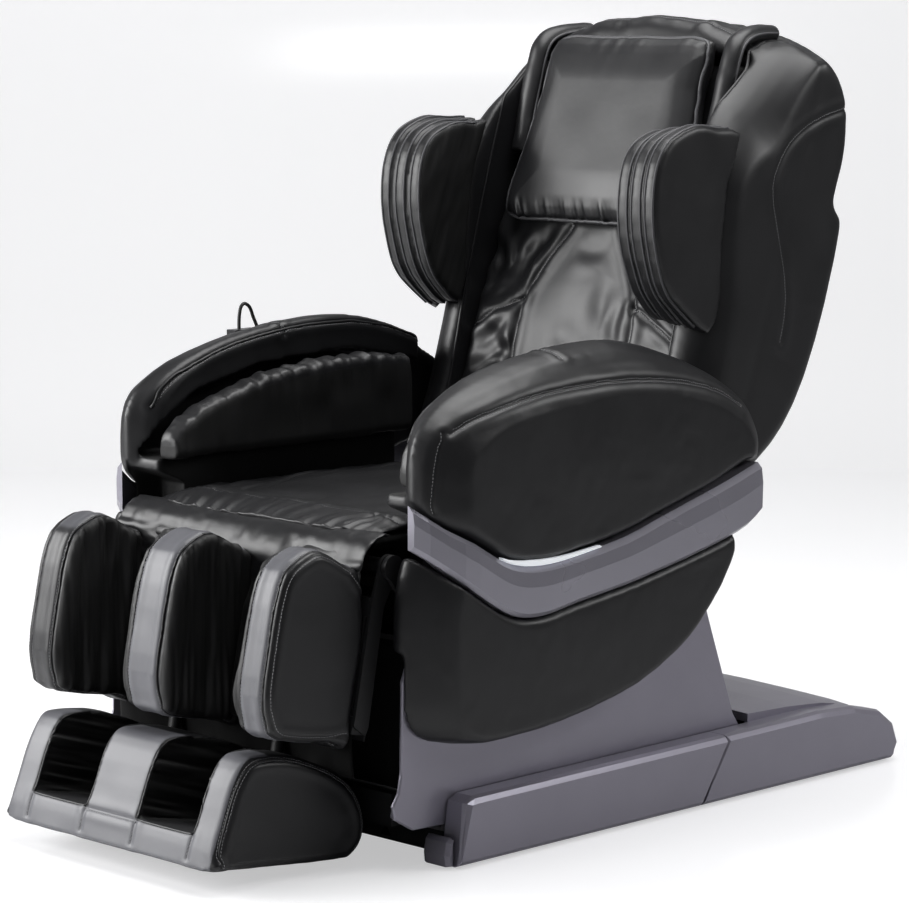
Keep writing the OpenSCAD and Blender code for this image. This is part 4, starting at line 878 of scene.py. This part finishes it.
def back_pad():
    """Centre pad: a smooth middle panel between gathered side panels."""
    pad = soft_copy("back_pad_cover", "back_pad", voxel=0.005, smooth=5)
    co = points_of(pad)
    x, t, s = back_places(co)
    face = ease((60 - t) / 20)
    side = ease((np.abs(x) - 118) / 22)
    middle = np.exp(-(x / 70) ** 2) * 0.003
    wave = ripple(np.stack([x * 0.5 + s * 0.4, s - 0.5 * np.abs(x), t], 1), (55, 48, 200), 16)
    push(pad, face * (side * (0.006 * wave + 0.0006 * ripple(co, 0.022, 17)) + middle + 0.0016 * ripple(co, 0.09, 18)))
    for k, fold in enumerate(PANEL_FOLDS):
        crease(pad, smooth_line([on_back(a, 26, b) for a, b in fold]), width=0.011 + 0.003 * (k % 3),
               depth=0.006 if k < 7 else 0.0022, ends=0.4)
    thread = Bundle()
    for _, sign in SIDES:
        edge = smooth_line([on_back(sign * a, 26, b) for a, b in PANEL_EDGE])
        sewn(pad, thread, edge, rows=(-0.0036,), depth=0.0042, width=0.005, swell=0.002)
        seam_line = smooth_line([on_back(sign * a, 26, b) for a, b in PANEL_SEAM])
        sewn(pad, thread, seam_line, rows=(0.0034,), depth=0.0036, width=0.0045, swell=0.002)
    seat_on(pad, "back", "back_pad", black_leather)
    sew_up(thread, "back_pad_stitching", "back")


PILLOW = [(-188, 512), (-100, 505), (0, 504), (100, 505), (188, 512), (198, 530), (199, 600), (196, 680), (190, 760),
          (182, 806), (168, 824), (140, 832), (0, 836), (-140, 832), (-168, 824), (-182, 806), (-190, 760), (-196, 680),
          (-199, 600), (-198, 530)]


def head_pillow():
    """Head pillow with piping round its face and gathers at its ends."""
    pillow = soft_copy("pillow", "head_pillow", voxel=0.004, smooth=6)
    co = points_of(pillow)
    x, t, s = back_places(co)
    edge = np.minimum(np.minimum(205 - np.abs(x), s - 503), 836 - s)
    front = ease((normals_of(pillow) @ -BACK_T - 0.1) / 0.5)
    swell = 0.010 * ease(edge / 90)
    foot = ease(1 - (s - 505) / 42) * ease((edge + 2) / 6)
    head = ease(1 - (836 - s) / 110) * np.exp(-((x - 10) / 95) ** 2)
    gather = ripple(np.stack([x + 0.15 * (s - 505), s * 0.12, t * 0], 1), (9, 16, 1), 19)
    tuck = ripple(np.stack([x, s * 0.2, t * 0], 1), (17, 30, 1), 21)
    push(pillow, front * (swell + 0.0034 * gather * foot + 0.0034 * tuck * head + 0.001 * ripple(co, 0.08, 22)))
    cords = Bundle()
    outline = smooth_line([on_back(a, -4 if 520 < b < 820 else 2, b) for a, b in PILLOW], 8, True)
    tree = tree_of(pillow)
    rim, _ = lay_on(tree, even_line(outline, 0.006, True))
    seam(pillow, rim, depth=0.003, width=0.005, swell=0.0, closed=True)
    piped(cords, pillow, outline, radius=0.0034, lift=0.0012)
    seat_on(pillow, "back", "head_pillow", black_leather)
    sew_up(cords, "pillow_piping", "back", edge_leather)


WING = [(-25, 334), (-83, 351), (-124, 380), (-170, 442), (-194, 500), (-202, 554), (-188, 600), (-140, 639),
        (-97, 652), (-59, 664)]


def wing(side, sign):
    """Shoulder wing of three padded leaves with piped edges."""
    leaves = soft_copy(f"wing_cover_{side}", f"wing_{side}", voxel=0.004, smooth=5)
    co = points_of(leaves)
    x, t, s = back_places(co)
    facing = -normals_of(leaves)[:, 0] * sign
    mark(leaves, "cloth", ease((facing - 0.55) / 0.2) * ease((262 - x * sign) / 6))
    push(leaves, 0.001 * ripple(co, 0.05, 23) + 0.0016 * ease(facing) * ripple(np.stack([x, t, s * 0.25], 1), 13, 24))
    cords = Bundle()
    for k, at in enumerate((229, 246, 260, 278, 292, 308)):
        inset = 10 - 5 * (k // 2) + 2.5
        line = []
        for t, s in WING:
            r = max(0.0, 1 - inset / math.hypot(t + 90, s - 510))
            line.append(on_back(sign * at, -90 + (t + 90) * r - 1, 510 + (s - 510) * r))
        piped(cords, leaves, smooth_line(line), radius=0.0022, closed=False, lift=0.0002)
    seat_on(leaves, "back", f"wing_{side}", black_leather)
    sew_up(cords, f"wing_piping_{side}", "back", edge_leather)


STRAP = [(206, 100, 876), (210, 66, 864), (215, 34, 848), (218, 14, 828), (219, 8, 800), (219, 10, 750),
         (218, 14, 690), (216, 20, 630)]


def pillow_strap(side, sign):
    """Padded strip that holds the pillow beside the bolster, piped on both edges."""
    line = even_line(smooth_line([on_back(sign * x, t, s) for x, t, s in STRAP]), 0.006)
    ahead = np.gradient(line, axis=0)
    ahead /= np.linalg.norm(ahead, axis=1)[:, None]
    face = np.cross(SIDEWAYS * -1, ahead)
    piece, cords = Bundle(), Bundle()
    piece.add(*tube(line, 0.019, False, 20, face, 0.75))
    strap = piece.piece(f"pillow_strap_{side}")
    co = points_of(strap)
    push(strap, 0.0012 * ripple(co, 0.03, 34))
    for way in (-1, 1):
        cords.add(*tube(line + way * 0.0188 * SIDEWAYS, 0.0024, False, 8, face))
    black_leather.dress(strap)
    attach(strap, "back")
    sew_up(cords, f"strap_piping_{side}", "back", edge_leather)


back_cover()
back_pad()
head_pillow()
for side, sign in SIDES:
    pillow_strap(side, sign)
for side, sign in SIDES:
    wing(side, sign)

# ---- Leg rest --------------------------------------------------------------------

CALF_EDGE = [(30, 262), (100, 270), (162, 268), (184, 249), (199, 209), (201, 148), (199, 74), (188, 24),
             (157, -4), (127, -14), (73, 3), (40, 28)]


def calf(name, low, high, inner):
    """Calf wall with a grey band in front and gathered cloth on its inner faces."""
    wall = soft_copy(f"calf_{name}_cover", f"calf_{name}", voxel=0.004, smooth=6)
    co = points_of(wall)
    x, f, d = leg_places(co)
    sides = np.zeros(len(co))
    for face in inner:
        at = low if face < 0 else high
        sides = np.maximum(sides, ease(1 - np.abs(x - at) / 17))
    flat = ease((np.abs(normals_of(wall)[:, 0]) - 0.25) / 0.4)
    cloth = sides * flat
    folds = ripple(np.stack([f + 0.10 * (d - 130), d * 0.10, x * 0.1], 1), (15, 16, 30), 25 + low)
    small = ripple(np.stack([f + 0.2 * (d - 130), d * 0.14, x * 0.1], 1), (7, 12, 30), 26 + low)
    ends = 0.6 + 0.8 * ease(np.abs(d - 128) / 130)
    push(wall, cloth * (0.0062 * folds + 0.0024 * small) * ends + (1 - cloth) * 0.0006 * ripple(co, 0.05, 27))
    left, right = low + 15, high - 15
    mark(wall, "cloth", ease((sides - 0.32) / 0.2))
    front = ease((f - 70) / 20) + ease((20 - d) / 10)
    tint = 0.30 if name == "right" else 1
    mark(wall, "band", tint * front * ease((x - left - 1) / 1.5) * ease((right - 1 - x) / 1.5))
    thread, cords = Bundle(), Bundle()
    for at in (left, right):
        edge = smooth_line([on_leg(at, f, d) for f, d in CALF_EDGE])
        sewn(wall, thread, edge, rows=(0.003 if at == left else -0.003,), depth=0.002, width=0.0035, swell=0.0012)
        piped(cords, wall, edge, radius=0.0020, closed=False, lift=0.0004)
    for face in (-1, 1):
        if face not in inner:
            at = high if face > 0 else low
            outer = smooth_line([on_leg(at - face * 5, 100 + (f - 100) * 0.94, 128 + (d - 128) * 0.94)
                                 for f, d in CALF_EDGE])
            sewn(wall, thread, outer, rows=(0.0028,), depth=0.0015, width=0.003)
    seat_on(wall, "leg", f"calf_{name}", black_leather)
    sew_up(thread, f"calf_{name}_stitching", "leg")
    sew_up(cords, f"calf_{name}_piping", "leg", black_leather)


def calf_floor():
    """Gathered cloth over the air cells behind the calves."""
    floor = soft_copy("calf_floor", "calf_pads", voxel=0.004, smooth=4)
    co = points_of(floor)
    x, f, d = leg_places(co)
    push(floor, 0.003 * ripple(np.stack([x, d * 0.2, f], 1), (11, 14, 40), 28))
    seat_on(floor, "leg", "calf_pads", black_velour)


FOOT_SIDE = [(205, 458), (212, 440), (206, 400), (196, 350), (178, 316), (150, 304), (109, 301), (62, 307), (10, 322),
             (-30, 344), (-56, 376), (-62, 410), (-50, 430)]


def foot_box():
    """Foot box: grey front and divider, black sides, gathered wells."""
    box = soft_copy("foot_box_cover", "foot_box", voxel=0.004, smooth=6)
    co = points_of(box)
    x, f, d = leg_places(co)
    n = normals_of(box)
    ahead, up = n @ LEG_F, -(n @ LEG_D)
    ax = np.abs(x)
    in_well = ease((ax - 50) / 8) * ease((196 - ax) / 8) * ease((424 - d) / 6) * ease((f - 4) / 8)
    wall = in_well * ease((0.75 - np.maximum(ahead, up)) / 0.3)
    along = np.stack([d + 0.12 * (f - 100), f * 0.16, x * 0.05], 1)
    folds = ripple(along, (12, 14, 20), 29) + 0.6 * ripple(along, (6, 10, 20), 30)
    push(box, wall * 0.0044 * folds * (0.5 + 0.7 * ease((f - 60) / 120)) + (1 - wall) * 0.0007 * ripple(co, 0.05, 31))
    mark(box, "cloth", np.maximum(wall, in_well * ease((d - 400) / 10)))
    facing = ease(ahead / 0.5) + ease((f - 120) / 30) * ease(up / 0.5)
    grey = ease((238 - ax) / 1.5) * ease(facing - 0.3) * (1 - in_well)
    mark(box, "band", grey * ease((f - 60) / 20))
    thread, cords = Bundle(), Bundle()
    for _, sign in SIDES:
        edge = smooth_line([on_leg(sign * 240, f, d) for f, d in FOOT_SIDE])
        sewn(box, thread, edge, rows=(-0.0034, 0.0034), depth=0.002, width=0.0035, swell=0.0014)
        piped(cords, box, edge, radius=0.0020, closed=False, lift=0.0003)
        for at in (58, 188):
            lip = smooth_line([on_leg(sign * at, f, d) for f, d in (
                (216, 421), (208, 380), (200, 345), (186, 310), (165, 298), (130, 294))])
            piped(cords, box, lip, radius=0.0022, closed=False, lift=0.0004)
        sill = smooth_line([on_leg(sign * x, 219, 421) for x in (60, 90, 123, 156, 186)])
        piped(cords, box, sill, radius=0.0022, closed=False, lift=0.0004)
        for at in (59, 187):
            tuck = smooth_line([on_leg(sign * at, 226, d) for d in (424, 440, 456)])
            sewn(box, thread, tuck, rows=(0.0028,), depth=0.0018)
    sill = smooth_line([on_leg(x, 222, 423) for x in (-56, -30, 0, 30, 56)])
    sewn(box, thread, sill, rows=(0.0028,), depth=0.0018)
    seat_on(box, "foot", "foot_box", black_leather)
    sew_up(thread, "foot_box_stitching", "foot")
    sew_up(cords, "foot_box_piping", "foot", black_leather)


calf("left", 205, 285, (-1,))
calf("middle", -50, 50, (-1, 1))
calf("right", -285, -205, (1,))
calf_floor()
foot_box()

# ---- Cloth under the seat ----------------------------------------------------------


def hanging_cloth(name, body, line, drop):
    """Black cloth that hangs in soft folds below a line: partly the chair's dust covers, partly a dark sheet that
    stands in for the shade under the seat and leg rest.
    """
    line = even_line(smooth_line(line, 6), 0.006)
    m, n = len(line), 24
    ahead = np.gradient(line, axis=0)
    side = np.stack([ahead[:, 1], -ahead[:, 0], 0 * ahead[:, 0]], 1)
    side /= np.linalg.norm(side, axis=1)[:, None]
    rows = []
    for j in range(n):
        v = j / (n - 1)
        wave = ripple(line * [1, 1, 0] + [0, 0, 0.15 * v], (0.035, 0.035, 0.3), 33) * 0.006 * v
        rows.append(line + side * wave[:, None] - [0, 0, drop * v])
    verts = np.concatenate(rows)
    faces = [(j * m + i, j * m + i + 1, (j + 1) * m + i + 1, (j + 1) * m + i)
             for j in range(n - 1) for i in range(m - 1)]
    cloth = add_object(name, mesh_of(name, verts, faces))
    with_modifiers(cloth, ("SOLIDIFY", dict(thickness=0.0015)))
    black_velour.dress(cloth)
    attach(cloth, body)


# Dark sheets under the carriage, base, seat and leg rest: partly real dust covers, partly painted shade that hides the
# bright floor seen through the gaps.
hanging_cloth("dust_cover_and_shade_cloth", "carriage", [(-0.315, -0.30, 0.335), (-0.315, -0.48, 0.335), (-0.300, -0.535, 0.335),
                                         (-0.2, -0.545, 0.335), (0.2, -0.545, 0.335), (0.300, -0.535, 0.335),
                                         (0.315, -0.48, 0.335), (0.315, -0.30, 0.335)], 0.225)
hanging_cloth("base_cloth", "base", [(-0.27, -0.500, 0.118), (0.27, -0.500, 0.118)], 0.100)
for side, sign in SIDES:
    hanging_cloth(f"side_cloth_{side}", "carriage", [(sign * 0.315, -0.295, 0.268), (sign * 0.315, -0.12, 0.268),
                                                     (sign * 0.315, 0.06, 0.268)], 0.155)
    hanging_cloth(f"seat_cloth_{side}", "seat", [(sign * 0.090, -0.503, 0.408), (sign * 0.19, -0.505, 0.408),
                                                 (sign * 0.292, -0.503, 0.408)], 0.075)
hanging_cloth("calf_cloth", "leg", [(-0.270, -0.640, 0.225), (-0.1, -0.642, 0.225), (0.1, -0.642, 0.225),
                                    (0.270, -0.640, 0.225)], 0.085)

# ---- Studio ----------------------------------------------------------------------


def floor_finish():
    """Pale floor, brighter where the camera sees it directly."""
    f = Finish("studio_floor", (0.72, 0.72, 0.73), 0.16, Emission_Strength=1.0)
    seen = f.node("ShaderNodeLightPath", {})
    f.set("Base Color", f.mix(f.noise(1.5), (0.70, 0.70, 0.71), (0.74, 0.74, 0.75)))
    f.set("Emission Color", f.mix(seen, (0, 0, 0), (0.50, 0.50, 0.505)))
    return f


def stage_sheet():
    """Floor that curves up into a backdrop behind the chair."""
    line = [(-6.0, 0.0), (3.6, 0.0)]
    line += [(3.6 + 1.4 * math.sin(a), 1.4 - 1.4 * math.cos(a)) for a in np.linspace(0.1, math.pi / 2, 12)]
    line += [(5.0, 7.0)]
    verts, faces = [], []
    for x in (-9.0, 9.0):
        for along, up in line:
            verts.append((x * math.cos(CAMERA_TURN) - along * math.sin(CAMERA_TURN),
                          x * math.sin(CAMERA_TURN) + along * math.cos(CAMERA_TURN), up))
    n = len(line)
    for i in range(n - 1):
        faces.append((i, n + i, n + i + 1, i + 1))
    floor = add_object("studio_floor", mesh_of("studio_floor", verts, faces))
    for poly in floor.data.polygons:
        poly.use_smooth = True
    floor_finish().dress(floor)


def soft_box(name, place, aim, size, power):
    """Rectangular studio light at a place, turned towards its aim."""
    lamp = bpy.data.lights.new(name, "AREA")
    lamp.shape, lamp.size, lamp.size_y, lamp.energy = "RECTANGLE", size[0], size[1], power
    piece = add_object(name, lamp)
    piece.location = place
    piece.rotation_euler = (Vector(aim) - Vector(place)).to_track_quat("-Z", "Y").to_euler()


stage_sheet()
soft_box("overhead", (0.1, 0.1, 3.0), (0, 0, 0.6), (2.2, 2.0), 75)
soft_box("from_left", (-2.8, -2.9, 1.9), (0, -0.3, 0.7), (2.0, 2.2), 165)
soft_box("from_front", (-1.3, -4.0, 0.9), (0.3, -0.4, 0.5), (0.9, 1.8), 48)
soft_box("from_right", (2.9, 2.5, 2.9), (0.3, 0.1, 0.9), (1.2, 1.2), 50)

world = bpy.data.worlds.new("studio")
bpy.context.scene.world = world
world.use_nodes = True
sky = world.node_tree.nodes["Background"].inputs
sky["Color"].default_value = (0.9, 0.9, 0.92, 1)
sky["Strength"].default_value = 0.09
bpy.context.scene.view_settings.view_transform = "Standard"
